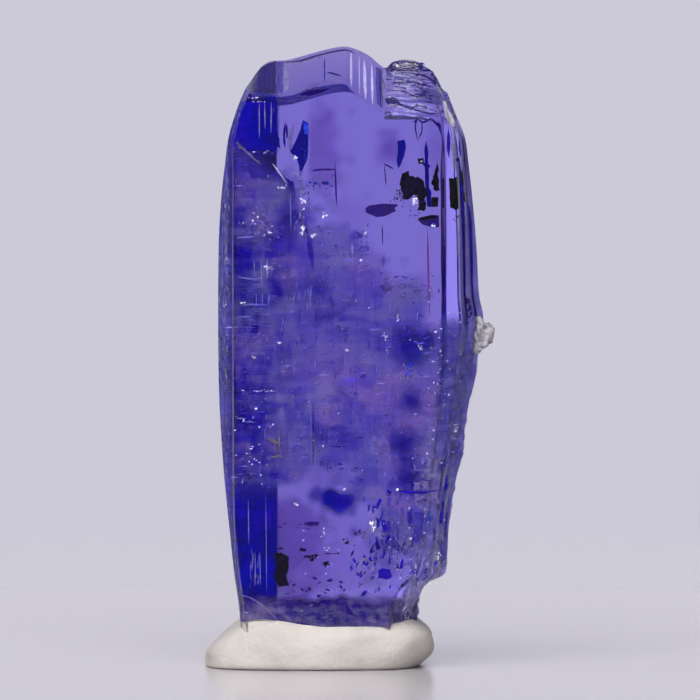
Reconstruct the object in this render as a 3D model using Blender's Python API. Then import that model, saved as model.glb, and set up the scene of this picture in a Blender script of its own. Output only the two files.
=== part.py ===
"""A rough tanzanite crystal standing upright in a pad of mounting putty.

The crystal is a flattened prism with a broad front face, a broad back face and narrow faces down its
sides. It widens to its middle, tapers to a broken foot, and ends above in a ridge that runs left to
right. A grain of pale mineral grew on its right side. The pad is a pressed lump of putty with a flat
underside and a recess that the foot stands in.

X runs across the broad face, Y runs away from the viewer, and Z is up.
"""

import math

import bmesh
import bpy
from mathutils import Vector, noise

MM = 0.001

# The crystal, in millimetres.
FOOT_Z = 1.4
HALF_THICKNESS = 3.5
RIDGE_Y = 0.4
BACK_DROP = 1.7
LEVEL_STEP = 0.62
WEAR = 0.05
WEAR_SIZE = 1.6

# Height of a point on the crystal's left and right edges, and how far out the edge is there.
LEFT_EDGE = (
    (1.0, -3.86),
    (2.5, -3.96),
    (4.0, -4.17),
    (5.5, -4.33),
    (8.5, -4.63),
    (12.0, -4.83),
    (17.5, -4.83),
    (19.5, -4.71),
    (21.0, -4.54),
    (22.0, -4.40),
    (23.0, -4.12),
    (23.75, -3.83),
    (24.5, -3.46),
)
RIGHT_EDGE = (
    (1.0, 3.30),
    (2.5, 3.42),
    (3.1, 3.56),
    (3.6, 4.00),
    (3.85, 4.60),
    (4.75, 4.67),
    (6.0, 4.74),
    (7.75, 5.02),
    (10.0, 5.44),
    (11.75, 5.79),
    (13.4, 6.02),
    (14.5, 6.20),
    (15.4, 6.00),
    (19.5, 5.71),
    (22.0, 5.40),
    (23.0, 5.00),
    (24.0, 4.60),
)

# Height along the crystal, and the share of the full thickness there.
THICKNESS = ((1.0, 0.78), (4.0, 0.88), (8.0, 0.97), (12.0, 1.0), (21.0, 1.0), (24.5, 0.93))

# The corners of the crystal's cross-section, seen from above and going round from the front left.
# Each has the edge that it is measured from, its distance in from that edge, its place from front
# (-1) to back (1), and the number of columns from it to the next corner.
CORNERS = (
    ("left", 0.60, -1.0, 9),
    ("right", -1.55, -1.0, 2),
    ("right", -0.80, -0.78, 2),
    ("right", 0.0, -0.10, 2),
    ("right", -0.35, 0.45, 2),
    ("right", -1.55, 1.0, 7),
    ("left", 2.45, 1.0, 3),
    ("left", 0.55, 0.35, 1),
    ("left", 0.0, -0.10, 2),
    ("left", 0.12, -0.62, 2),
)

# The ridge on top: its height along X, and that of the front rim of the sloping face before it.
RIDGE = (
    (-3.5, 24.6),
    (-3.0, 25.05),
    (-2.6, 25.28),
    (-1.3, 25.5),
    (0.42, 25.88),
    (1.42, 25.5),
    (2.08, 25.0),
    (2.6, 25.33),
    (3.4, 25.25),
    (4.17, 24.75),
    (4.7, 24.1),
)
FRONT_RIM = (
    (-3.9, 23.7),
    (-2.2, 23.54),
    (-0.2, 24.08),
    (0.42, 23.96),
    (1.9, 23.15),
    (3.5, 23.3),
    (4.7, 23.0),
)
CAP_RINGS = (0.25, 0.5, 0.75, 0.96)
RIDGE_SHORTER = 0.35
FIRST_RIM_GUESS = 24.0
RIM_ROUNDS = 6

# The pale grain on the right side.
GRAIN_PLACE = (6.12, -0.5, 13.65)
GRAIN_RADII = (0.42, 0.46, 0.62)
GRAIN_ROUGHNESS = 0.12
GRAIN_ROUGHNESS_SIZE = 0.35

# The putty pad and the recess in it.
PAD_LEFT = -5.42
PAD_RIGHT = 4.06
PAD_DEPTH = 8.2
PAD_CROWN = 1.95
PAD_BELLY_Z = 0.62
PAD_UNEVENNESS = 0.22
PAD_UNEVENNESS_SIZE = 2.6
PAD_UNEVENNESS_START = Vector((7.0, 0.0, 0.0))
PAD_ROUND = 4.0
GAP = 0.3
RECESS_LEVELS = (2.0, 4.0)


def clear_scene():
    """Removes whatever the scene starts with."""
    for obj in list(bpy.data.objects):
        bpy.data.objects.remove(obj, do_unlink=True)


def along(profile, place):
    """The value of a profile, given as (place, value) pairs in rising order, at a place along it."""
    if place <= profile[0][0]:
        return profile[0][1]
    for (low, low_value), (high, high_value) in zip(profile, profile[1:]):
        if place <= high:
            share = (place - low) / (high - low)
            return low_value + share * (high_value - low_value)
    return profile[-1][1]


def section_columns():
    """The columns round the crystal: (corner, next corner, share of the way from one to the next)."""
    columns = []
    for corner, following in zip(CORNERS, CORNERS[1:] + CORNERS[:1]):
        count = corner[3]
        columns.extend((corner, following, step / count) for step in range(count))
    return columns


def corner_point(corner, z):
    """The X and Y of a corner of the cross-section at height z."""
    edge, inset, depth, _ = corner
    profile = LEFT_EDGE if edge == "left" else RIGHT_EDGE
    x = along(profile, z) + inset
    y = depth * HALF_THICKNESS * along(THICKNESS, z)
    return Vector((x, y))


def column_point(column, z):
    """The X and Y of a column of the crystal's side at height z."""
    corner, following, share = column
    return corner_point(corner, z).lerp(corner_point(following, z), share)


def top_height(x, y):
    """The height of the crystal's top, a ridge with a steep front slope and a steep back slope."""
    ridge = along(RIDGE, x)
    thickness = HALF_THICKNESS * along(THICKNESS, ridge)
    if y < RIDGE_Y:
        share = (RIDGE_Y - y) / (RIDGE_Y + thickness)
        return ridge + share * (along(FRONT_RIM, x) - ridge)
    return ridge - BACK_DROP * (y - RIDGE_Y) / (thickness - RIDGE_Y)


def rim_height(column):
    """The height at which a column of the side meets the top."""
    z = FIRST_RIM_GUESS
    for _ in range(RIM_ROUNDS):
        point = column_point(column, z)
        z = top_height(point.x, point.y)
    return z


def worn(point):
    """A point of the crystal's surface, moved in or out a little as wear and growth leave it."""
    offset = noise.noise_vector(point / WEAR_SIZE)
    return point + WEAR * offset


def extrude_loop(mesh, edges, places):
    """Extrudes a closed loop of edges once and puts its new vertices at the places, in column order."""
    made = bmesh.ops.extrude_edge_only(mesh, edges=edges)["geom"]
    new_edges = [part for part in made if isinstance(part, bmesh.types.BMEdge)]
    new_verts = [part for part in made if isinstance(part, bmesh.types.BMVert)]
    column_layer = mesh.verts.layers.int["column"]
    for vert in new_verts:
        vert.co = places[vert[column_layer]]
    return new_edges


def start_loop(mesh, places):
    """A closed loop of edges through the places, each vertex marked with its column."""
    column_layer = mesh.verts.layers.int.new("column")
    made = bmesh.ops.create_circle(mesh, cap_ends=False, segments=len(places), radius=1.0)
    for column, vert in enumerate(made["verts"]):
        vert[column_layer] = column
        vert.co = places[column]
    return list(mesh.edges)


def close_ends(mesh):
    """Fills the open ends of a tube and turns every face outwards."""
    open_edges = [edge for edge in mesh.edges if edge.is_boundary]
    bmesh.ops.holes_fill(mesh, edges=open_edges, sides=0)
    bmesh.ops.triangulate(mesh, faces=mesh.faces[:])
    bmesh.ops.recalc_face_normals(mesh, faces=mesh.faces[:])


def to_object(mesh, name, material, origin):
    """Makes an object of a mesh drawn in millimetres, with its own origin at the point given."""
    bmesh.ops.translate(mesh, verts=mesh.verts[:], vec=-Vector(origin))
    bmesh.ops.scale(mesh, verts=mesh.verts[:], vec=(MM, MM, MM))
    data = bpy.data.meshes.new(name)
    mesh.to_mesh(data)
    mesh.free()
    obj = bpy.data.objects.new(name, data)
    obj.location = Vector(origin) * MM
    if material:
        data.materials.append(material)
    bpy.context.scene.collection.objects.link(obj)
    return obj


def principled(name, colour, roughness, transmission=0.0, ior=1.5):
    """A Principled material that is not metallic."""
    material = bpy.data.materials.new(name)
    material.use_nodes = True
    shader = material.node_tree.nodes["Principled BSDF"]
    shader.inputs["Base Color"].default_value = (*colour, 1.0)
    shader.inputs["Roughness"].default_value = roughness
    shader.inputs["Metallic"].default_value = 0.0
    shader.inputs["Transmission Weight"].default_value = transmission
    shader.inputs["IOR"].default_value = ior
    return material


def crystal():
    """The crystal, lofted up its sides and then in over its ridged top."""
    columns = section_columns()
    rims = [rim_height(column) for column in columns]
    levels = math.ceil((max(rims) - FOOT_Z) / LEVEL_STEP)

    def side_places(share):
        """The side's points at a share of the way from the foot to the rim."""
        heights = [FOOT_Z + share * (rim - FOOT_Z) for rim in rims]
        flat = [column_point(column, z) for column, z in zip(columns, heights)]
        return [worn(Vector((*point, z))) for point, z in zip(flat, heights)]

    def cap_places(share):
        """The top's points at a share of the way from the rim to the ridge."""
        places = []
        for column, rim in zip(columns, rims):
            point = column_point(column, rim)
            middle = Vector((point.x * (1.0 - RIDGE_SHORTER * share), RIDGE_Y))
            inner = point.lerp(middle, share)
            places.append(worn(Vector((*inner, top_height(inner.x, inner.y)))))
        return places

    mesh = bmesh.new()
    loop = start_loop(mesh, side_places(0.0))
    for level in range(1, levels + 1):
        loop = extrude_loop(mesh, loop, side_places(level / levels))
    for share in CAP_RINGS:
        loop = extrude_loop(mesh, loop, cap_places(share))
    close_ends(mesh)
    glass = principled("tanzanite", (0.20, 0.13, 0.62), 0.04, transmission=1.0, ior=1.69)
    return to_object(mesh, "tanzanite_crystal", glass, (0.0, 0.0, FOOT_Z))


def grain():
    """The pale grain, a rough lump that is joined into the crystal's right side."""
    mesh = bmesh.new()
    bmesh.ops.create_icosphere(mesh, subdivisions=3, radius=1.0)
    bmesh.ops.scale(mesh, verts=mesh.verts[:], vec=GRAIN_RADII)
    for vert in mesh.verts:
        bump = noise.noise(vert.co / GRAIN_ROUGHNESS_SIZE)
        vert.co += vert.co.normalized() * GRAIN_ROUGHNESS * bump
    bmesh.ops.translate(mesh, verts=mesh.verts[:], vec=GRAIN_PLACE)
    return as_helper(to_object(mesh, "grain_helper", None, GRAIN_PLACE))


def foot_cutter():
    """The crystal's lower end, grown by the gap all round, that makes the recess in the putty."""
    columns = section_columns()

    def places(z):
        """The cutter's points at height z."""
        found = []
        for column in columns:
            point = column_point(column, max(z, FOOT_Z))
            grown = point + point.normalized() * (GAP + WEAR)
            found.append(Vector((*grown, z)))
        return found

    mesh = bmesh.new()
    bottom = FOOT_Z - GAP - WEAR
    loop = start_loop(mesh, places(bottom))
    for z in RECESS_LEVELS:
        loop = extrude_loop(mesh, loop, places(z))
    close_ends(mesh)
    return as_helper(to_object(mesh, "foot_cutter", None, (0.0, 0.0, bottom)))


def as_helper(obj):
    """Keeps an object out of the model: it only shapes another one."""
    obj.hide_render = True
    obj.display_type = "WIRE"
    return obj


def combine(obj, other, operation):
    """Adds a Boolean that joins another shape to an object, or cuts it from the object."""
    modifier = obj.modifiers.new(operation.lower(), "BOOLEAN")
    modifier.operation = operation
    modifier.object = other
    modifier.solver = "EXACT"


def putty_pad():
    """The pressed lump of putty: flat below, rounded at its rim, with thumb-soft unevenness above."""
    centre_x = 0.5 * (PAD_LEFT + PAD_RIGHT)
    half_width = 0.5 * (PAD_RIGHT - PAD_LEFT)
    mesh = bmesh.new()
    bmesh.ops.create_icosphere(mesh, subdivisions=4, radius=1.0)
    for vert in mesh.verts:
        direction = vert.co.normalized()
        across = math.hypot(direction.x, direction.y)
        spread = (across**PAD_ROUND + abs(direction.z) ** PAD_ROUND) ** (-1.0 / PAD_ROUND)
        point = direction * spread
        lift = PAD_CROWN - PAD_BELLY_Z if point.z > 0.0 else 2.0 * PAD_BELLY_Z
        place = Vector((point.x * half_width, point.y * PAD_DEPTH / 2, point.z * lift))
        bump = noise.noise(place / PAD_UNEVENNESS_SIZE + PAD_UNEVENNESS_START)
        vert.co = place + direction * PAD_UNEVENNESS * bump
    bmesh.ops.translate(mesh, verts=mesh.verts[:], vec=(centre_x, 0.0, PAD_BELLY_Z))
    everything = mesh.verts[:] + mesh.edges[:] + mesh.faces[:]
    bmesh.ops.bisect_plane(
        mesh, geom=everything, plane_co=(0, 0, 0), plane_no=(0, 0, -1), clear_outer=True
    )
    close_ends(mesh)
    putty = principled("putty", (0.68, 0.63, 0.61), 0.85)
    return to_object(mesh, "putty_pad", putty, (centre_x, 0.0, 0.0))


def bounds(objects):
    """The lowest and highest corners of the objects as they are finally shaped, in metres."""
    graph = bpy.context.evaluated_depsgraph_get()
    points = []
    for obj in objects:
        shaped = obj.evaluated_get(graph)
        points.extend(shaped.matrix_world @ vert.co for vert in shaped.data.vertices)
    low = Vector([min(point[axis] for point in points) for axis in range(3)])
    high = Vector([max(point[axis] for point in points) for axis in range(3)])
    return low, high


def main():
    """Builds both pieces and puts the origin under the middle of the whole specimen."""
    clear_scene()
    stone = crystal()
    pad = putty_pad()
    lump = grain()
    cutter = foot_cutter()
    combine(stone, lump, "UNION")
    combine(pad, cutter, "DIFFERENCE")
    specimen = bpy.data.objects.new("specimen", None)
    bpy.context.scene.collection.objects.link(specimen)
    for obj in (stone, pad, lump, cutter):
        obj.parent = specimen
    bpy.context.view_layer.update()
    low, high = bounds((stone, pad))
    specimen.location = (-0.5 * (low.x + high.x), -0.5 * (low.y + high.y), -low.z)


main()
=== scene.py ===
"""The looks of a rough tanzanite crystal that stands in a pad of mounting putty.

Sizes are in millimetres, measured from the crystal's own middle line: X runs across its broad face, Y runs
away from the viewer and Z is up from the surface that the pad rests on. Each finished piece is brought into
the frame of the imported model, in metres, when its mesh is made into an object.
"""

import logging
import math
import random
from dataclasses import dataclass, field
from enum import Enum
from typing import Callable, Sequence

import bmesh
import bpy
from mathutils import Matrix, Vector, noise


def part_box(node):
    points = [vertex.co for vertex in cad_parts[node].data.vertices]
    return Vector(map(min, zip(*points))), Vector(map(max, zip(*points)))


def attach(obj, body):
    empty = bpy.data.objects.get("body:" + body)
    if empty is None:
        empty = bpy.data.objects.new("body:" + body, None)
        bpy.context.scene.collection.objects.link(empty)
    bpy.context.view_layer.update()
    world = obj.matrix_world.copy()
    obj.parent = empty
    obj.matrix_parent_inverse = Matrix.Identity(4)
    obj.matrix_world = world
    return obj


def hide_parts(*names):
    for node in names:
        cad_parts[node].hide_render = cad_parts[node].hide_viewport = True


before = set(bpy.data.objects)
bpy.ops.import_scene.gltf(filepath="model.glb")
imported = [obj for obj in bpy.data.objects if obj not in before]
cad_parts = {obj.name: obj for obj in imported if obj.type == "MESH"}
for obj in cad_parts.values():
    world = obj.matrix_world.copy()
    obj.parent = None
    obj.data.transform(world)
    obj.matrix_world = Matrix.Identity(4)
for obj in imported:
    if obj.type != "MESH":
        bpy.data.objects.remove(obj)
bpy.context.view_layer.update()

LOG = logging.getLogger("tanzanite")

MM = 0.001
CRYSTAL_NODE = "tanzanite_crystal"
PAD_NODE = "putty_pad"
ROOT = "root"
LEFT_REACH = 4.836

Profile = Sequence[tuple[float, float]]
Colour = tuple[float, float, float]
Place = tuple[float, float]
Socket = bpy.types.NodeSocket


def middle_line() -> Vector:
    """Where the crystal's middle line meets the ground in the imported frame, in metres."""
    low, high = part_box(CRYSTAL_NODE)
    return Vector((low.x + LEFT_REACH * MM, 0.5 * (low.y + high.y), 0.0))


def ramp(value: float, start: float, end: float) -> float:
    """How far a value is from start to end, eased, from 0 to 1.

    Args:
        value: The number to place.
        start: Where the result is 0.
        end: Where the result is 1. It may be lower than start.

    Returns:
        The eased share.
    """
    share = min(max((value - start) / (end - start), 0.0), 1.0)
    return share * share * (3.0 - 2.0 * share)


def along(profile: Profile, place: float, curved: bool = True) -> float:
    """Reads a profile.

    Args:
        profile: Pairs of place and value, places rising.
        place: Where to read it.
        curved: Whether a smooth curve runs through the points, or straight lines.

    Returns:
        The value there, held level beyond both ends.
    """
    if place <= profile[0][0]:
        return profile[0][1]
    if place >= profile[-1][0]:
        return profile[-1][1]
    index = 1
    while profile[index][0] < place:
        index += 1
    (x0, y0), (x1, y1) = profile[index - 1], profile[index]
    width = x1 - x0
    t = (place - x0) / width
    if not curved:
        return y0 + t * (y1 - y0)
    before = profile[max(index - 2, 0)]
    after = profile[min(index + 1, len(profile) - 1)]
    slope0 = (y1 - before[1]) / (x1 - before[0])
    slope1 = (after[1] - y0) / (after[0] - x0)
    curve = (2 * t**3 - 3 * t**2 + 1) * y0 + (t**3 - 2 * t**2 + t) * width * slope0
    return curve + (-2 * t**3 + 3 * t**2) * y1 + (t**3 - t**2) * width * slope1


class Face(Enum):
    """The faces round the crystal, named for how their surface grew."""

    FRONT = "front"
    STEP = "step"
    RIGHT_SIDE = "right side"
    BACK = "back"
    BACK_LEFT = "back left"
    LEFT = "left"
    FRONT_LEFT = "front left"


class Edge(Enum):
    """What a corner of the cross-section is placed from.

    LEFT and RIGHT corners stand a distance in millimetres from that edge of the outline. STEPS corners stand
    at a share of the way from the front face's right end to the right edge. PLANE corners stand at an X of
    their own, yet never close to the left edge.
    """

    LEFT = "left"
    RIGHT = "right"
    STEPS = "steps"
    PLANE = "plane"


@dataclass(frozen=True)
class Corner:
    """A corner of the crystal's cross-section, and the face that runs from it to the next corner."""

    edge: Edge
    inset: float
    depth: float
    face: Face


@dataclass(frozen=True)
class Column:
    """One vertical line of the crystal's side."""

    start: Corner
    end: Corner
    share: float
    run: float


@dataclass(frozen=True)
class Finish:
    """A Principled finish whose plain values hold all over the surface."""

    name: str
    colour: Colour
    roughness: float
    metallic: float = 0.0
    transmission: float = 0.0
    ior: float = 1.5
    specular: float = 0.5
    alpha: float = 1.0

    def start(self) -> tuple["Nodes", bpy.types.ShaderNode]:
        """The new material's nodes and its Principled shader."""
        material = bpy.data.materials.new(self.name)
        material.use_nodes = True
        shader = material.node_tree.nodes["Principled BSDF"]
        shader.inputs["Base Color"].default_value = (*self.colour, 1.0)
        shader.inputs["Roughness"].default_value = self.roughness
        shader.inputs["Metallic"].default_value = self.metallic
        shader.inputs["Transmission Weight"].default_value = self.transmission
        shader.inputs["IOR"].default_value = self.ior
        shader.inputs["Specular IOR Level"].default_value = self.specular
        shader.inputs["Alpha"].default_value = self.alpha
        return Nodes(material), shader


class Nodes:
    """Short ways to lay out the nodes of one material or world."""

    def __init__(self, owner: bpy.types.Material | bpy.types.World) -> None:
        """Works on the node tree of the owner given."""
        self.owner = owner
        self.tree = owner.node_tree

    def add(self, kind: str, **settings: object) -> bpy.types.Node:
        """Adds a node.

        Args:
            kind: The node's Blender type.
            settings: Attributes of the node to set.

        Returns:
            The new node.
        """
        node = self.tree.nodes.new(kind)
        for name, value in settings.items():
            setattr(node, name, value)
        return node

    def link(self, source: Socket, target: Socket) -> None:
        """Joins two sockets."""
        self.tree.links.new(source, target)

    def place(self, stretch: Sequence[float] = (1.0, 1.0, 1.0)) -> Socket:
        """The place on the piece in millimetres, stretched.

        Args:
            stretch: How much finer a pattern is along X, Y and Z.

        Returns:
            The output socket.
        """
        found = self.add("ShaderNodeTexCoord")
        mapping = self.add("ShaderNodeMapping")
        mapping.inputs["Scale"].default_value = [s / MM for s in stretch]
        self.link(found.outputs["Object"], mapping.inputs["Vector"])
        return mapping.outputs["Vector"]

    def part(self, axis: str) -> Socket:
        """One of the place's X, Y and Z in millimetres."""
        split = self.add("ShaderNodeSeparateXYZ")
        self.link(self.place(), split.inputs["Vector"])
        return split.outputs[axis]

    def noise(self, stretch: Sequence[float], detail: float = 3.0, distortion: float = 0.0) -> Socket:
        """A noise pattern.

        Args:
            stretch: Features in a millimetre along X, Y and Z.
            detail: Octaves.
            distortion: How much it swirls.

        Returns:
            The noise's value, from 0 to 1.
        """
        texture = self.add("ShaderNodeTexNoise")
        texture.inputs["Scale"].default_value = 1.0
        texture.inputs["Detail"].default_value = detail
        texture.inputs["Distortion"].default_value = distortion
        self.link(self.place(stretch), texture.inputs["Vector"])
        return texture.outputs["Fac"]

    def remap(self, value: Socket, low: float, high: float, start: float = 0.0, end: float = 1.0) -> Socket:
        """Maps a value from one range to another, clipped and eased.

        Args:
            value: The value to map.
            low: Start of its range.
            high: End of its range.
            start: What low becomes.
            end: What high becomes.

        Returns:
            The mapped value.
        """
        node = self.add("ShaderNodeMapRange", interpolation_type="SMOOTHSTEP")
        node.inputs["From Min"].default_value = low
        node.inputs["From Max"].default_value = high
        node.inputs["To Min"].default_value = start
        node.inputs["To Max"].default_value = end
        self.link(value, node.inputs["Value"])
        return node.outputs["Result"]

    def math(self, operation: str, first: Socket, second: Socket | float = 0.0) -> Socket:
        """Joins two values with a sum.

        Args:
            operation: Blender's name of the sum.
            first: The first value.
            second: The second value, or a plain number.

        Returns:
            The result.
        """
        node = self.add("ShaderNodeMath", operation=operation)
        self.link(first, node.inputs[0])
        if isinstance(second, (int, float)):
            node.inputs[1].default_value = second
        else:
            self.link(second, node.inputs[1])
        return node.outputs[0]

    def mix_colour(self, share: Socket, first: Colour | Socket, second: Colour | Socket) -> Socket:
        """Mixes two colours, each plain or from a socket.

        Args:
            share: How much of the second one there is.
            first: The colour at 0.
            second: The colour at 1.

        Returns:
            The mixed colour.
        """
        node = self.add("ShaderNodeMix", data_type="RGBA")
        colours = [s for s in node.inputs if s.type == "RGBA"]
        for target, colour in zip(colours, (first, second)):
            if isinstance(colour, tuple):
                target.default_value = (*colour, 1.0)
            else:
                self.link(colour, target)
        self.link(share, node.inputs[0])
        return next(s for s in node.outputs if s.type == "RGBA")

    def bump(self, shader: bpy.types.ShaderNode, height: Socket, depth: float) -> None:
        """Gives a shader a bump.

        Args:
            shader: The shader to dress.
            height: The height pattern.
            depth: What a height of 1 is, in millimetres.
        """
        node = self.add("ShaderNodeBump")
        node.inputs["Distance"].default_value = depth * MM
        self.link(height, node.inputs["Height"])
        self.link(node.outputs["Normal"], shader.inputs["Normal"])


def make_piece(
    mesh: bmesh.types.BMesh, name: str, material: bpy.types.Material, sharp_angle: float | None = 30.0
) -> bpy.types.Object:
    """Makes an object of a mesh drawn in millimetres, brings it into the frame and lets it ride.

    Args:
        mesh: The finished mesh, freed afterwards.
        name: The piece's name.
        material: Its finish.
        sharp_angle: Edges above this many degrees stay sharp. None shades every face flat.

    Returns:
        The new object.
    """
    bmesh.ops.scale(mesh, verts=mesh.verts[:], vec=(MM, MM, MM))
    bmesh.ops.translate(mesh, verts=mesh.verts[:], vec=middle_line())
    data = bpy.data.meshes.new(name)
    mesh.to_mesh(data)
    mesh.free()
    data.materials.append(material)
    if sharp_angle is None:
        data.shade_flat()
    else:
        data.shade_smooth()
        data.set_sharp_from_angle(angle=math.radians(sharp_angle))
    piece = bpy.data.objects.new(name, data)
    bpy.context.scene.collection.objects.link(piece)
    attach(piece, ROOT)
    LOG.info("%s: %d faces", name, len(data.polygons))
    return piece


def extrude_loop(
    mesh: bmesh.types.BMesh,
    loop: list[bmesh.types.BMEdge],
    order: bmesh.types.BMLayerItem,
    places: Sequence[Vector],
) -> list[bmesh.types.BMEdge]:
    """Extrudes a closed loop of edges once.

    Args:
        mesh: The mesh that grows.
        loop: The loop's edges.
        order: The vertex layer that holds each column's number.
        places: Where the new vertices go, in column order.

    Returns:
        The new loop's edges.
    """
    made = bmesh.ops.extrude_edge_only(mesh, edges=loop)["geom"]
    for part in made:
        if isinstance(part, bmesh.types.BMVert):
            part.co = places[part[order]]
    return [part for part in made if isinstance(part, bmesh.types.BMEdge)]


def loft(rings: Sequence[Sequence[Vector]]) -> bmesh.types.BMesh:
    """A closed skin over rings of places, closed across the first and the last ring.

    Args:
        rings: The rings, each with the same number of places.

    Returns:
        The mesh, its faces outward.
    """
    mesh = bmesh.new()
    order = mesh.verts.layers.int.new("column")
    made = bmesh.ops.create_circle(mesh, cap_ends=False, segments=len(rings[0]), radius=1.0)
    for index, vert in enumerate(made["verts"]):
        vert[order] = index
        vert.co = rings[0][index]
    loop = mesh.edges[:]
    for places in rings[1:]:
        loop = extrude_loop(mesh, loop, order, places)
    open_edges = [edge for edge in mesh.edges if edge.is_boundary]
    filled = bmesh.ops.holes_fill(mesh, edges=open_edges, sides=0)["faces"]
    bmesh.ops.triangulate(mesh, faces=filled)
    bmesh.ops.recalc_face_normals(mesh, faces=mesh.faces[:])
    return mesh


@dataclass
class CrystalForm:
    """The shape of the crystal's outside, as formulas that other classes read too."""

    foot_z: float = 1.15
    half_thickness: float = 3.45
    ridge_y: float = -1.5
    back_drop: float = 1.9
    sight_slope: float = 0.0207
    bevel_slope: float = 2.1
    left_edge: Profile = (
        (1.0, -3.86), (2.5, -3.96), (4.0, -4.17), (5.5, -4.33), (8.5, -4.63), (12.0, -4.82),
        (17.5, -4.82), (19.5, -4.71), (21.0, -4.54), (22.0, -4.40), (23.0, -4.12), (23.75, -3.83),
        (24.5, -3.46), (25.0, -3.10),
    )
    right_edge: Profile = (
        (1.0, 3.35), (2.0, 3.42), (2.6, 3.44), (3.1, 3.58), (3.5, 3.92), (3.75, 4.48), (4.0, 4.62),
        (4.75, 4.67), (6.0, 4.76), (7.75, 5.03), (8.75, 5.29), (10.0, 5.42), (11.0, 5.58), (11.75, 5.79),
        (12.9, 5.95), (13.6, 6.12), (14.6, 6.16), (15.4, 6.00), (17.5, 5.88), (19.5, 5.71), (21.0, 5.54),
        (22.0, 5.40), (23.0, 5.00), (24.0, 4.60), (24.5, 4.32),
    )
    front_right: Profile = (
        (1.0, 2.3), (3.0, 2.4), (4.0, 3.3), (8.0, 3.9), (11.0, 4.2), (14.0, 4.38), (22.6, 4.38),
        (23.5, 4.0), (24.5, 3.4),
    )
    thickness: Profile = ((1.0, 0.99), (3.0, 1.0), (24.5, 1.0))
    ridge: Profile = (
        (-3.5, 24.5), (-3.1, 24.9), (-2.7, 25.15), (-2.0, 25.22), (-1.3, 25.4), (-0.4, 25.65),
        (0.42, 25.78), (0.92, 25.65), (1.42, 25.4), (2.08, 24.9), (2.4, 25.15), (2.9, 25.23),
        (3.4, 25.15), (3.83, 24.9), (4.17, 24.65), (4.46, 24.15),
    )
    front_rim: Profile = (
        (-3.9, 23.95), (-2.9, 23.72), (-1.9, 23.75), (-1.04, 24.0), (-0.21, 24.2), (0.42, 24.22),
        (0.71, 23.95), (1.25, 23.48), (1.96, 23.12), (2.3, 23.1), (3.5, 22.9), (4.7, 22.5),
    )
    corners: tuple[Corner, ...] = (
        Corner(Edge.PLANE, -4.18, -1.0, Face.FRONT),
        Corner(Edge.STEPS, 0.0, -1.0, Face.STEP),
        Corner(Edge.STEPS, 0.13, -0.815, Face.STEP),
        Corner(Edge.STEPS, 0.42, -0.745, Face.STEP),
        Corner(Edge.STEPS, 0.46, -0.68, Face.STEP),
        Corner(Edge.STEPS, 0.513, -0.67, Face.STEP),
        Corner(Edge.STEPS, 0.644, -0.47, Face.STEP),
        Corner(Edge.STEPS, 0.749, -0.44, Face.STEP),
        Corner(Edge.STEPS, 0.855, -0.27, Face.STEP),
        Corner(Edge.STEPS, 1.0, -0.21, Face.RIGHT_SIDE),
        Corner(Edge.RIGHT, 0.0, 0.05, Face.RIGHT_SIDE),
        Corner(Edge.RIGHT, -0.20, 0.5, Face.RIGHT_SIDE),
        Corner(Edge.RIGHT, -0.95, 1.0, Face.BACK),
        Corner(Edge.PLANE, -2.42, 1.0, Face.BACK_LEFT),
        Corner(Edge.LEFT, 0.30, 0.40, Face.LEFT),
        Corner(Edge.LEFT, 0.0, -0.25, Face.FRONT_LEFT),
        Corner(Edge.LEFT, 0.10, -0.66, Face.FRONT_LEFT),
    )

    def corner_place(self, corner: Corner, z: float) -> Vector:
        """The X and Y of a corner at a height."""
        y = corner.depth * self.half_thickness * along(self.thickness, z)
        right = along(self.right_edge, z)
        if corner.edge is Edge.STEPS:
            front = along(self.front_right, z)
            return Vector((front + corner.inset * (right - front), y))
        left = along(self.left_edge, z)
        if corner.edge is Edge.PLANE:
            return Vector((max(corner.inset, left + 0.25), y))
        if corner.face is Face.FRONT_LEFT:
            plane = self.corner_place(self.corners[0], z)
            place = left + corner.inset
            return Vector((place, plane.y + self.bevel_slope * (plane.x - place)))
        return Vector(((right if corner.edge is Edge.RIGHT else left) + corner.inset, y))

    def columns(self, spacing: float) -> list[Column]:
        """The vertical lines round the crystal.

        Args:
            spacing: About how far apart they stand.

        Returns:
            The columns in order, seen from above against the clock, from the front left.
        """
        middle = 16.0
        found: list[Column] = []
        run = 0.0
        for start, end in zip(self.corners, self.corners[1:] + self.corners[:1]):
            width = (self.corner_place(end, middle) - self.corner_place(start, middle)).length
            count = max(2, round(width / spacing))
            found += [Column(start, end, i / count, run + width * i / count) for i in range(count)]
            run += width
        return found

    def plan(self, column: Column, z: float) -> Vector:
        """The X and Y of a column at a height, before its surface relief."""
        return self.corner_place(column.start, z).lerp(self.corner_place(column.end, z), column.share)

    def outward(self, column: Column, z: float) -> Vector:
        """The level direction that a column's face looks in."""
        run = self.corner_place(column.end, z) - self.corner_place(column.start, z)
        return Vector((run.y, -run.x, 0.0)).normalized()

    def top_height(self, x: float, y: float) -> float:
        """The height of the top at a place: a ridge with a front slope and a back slope."""
        ridge = along(self.ridge, x)
        thickness = self.half_thickness * along(self.thickness, ridge)
        if y < self.ridge_y:
            share = (self.ridge_y - y) / (self.ridge_y + thickness)
            return ridge + share * (along(self.front_rim, x) - ridge)
        return ridge - self.back_drop * (y - self.ridge_y) / (thickness - self.ridge_y)

    def rim_height(self, column: Column) -> float:
        """The height at which a column meets the top."""
        z = 24.0
        for _ in range(6):
            place = self.plan(column, z)
            z = self.top_height(place.x, place.y)
        return z

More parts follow.
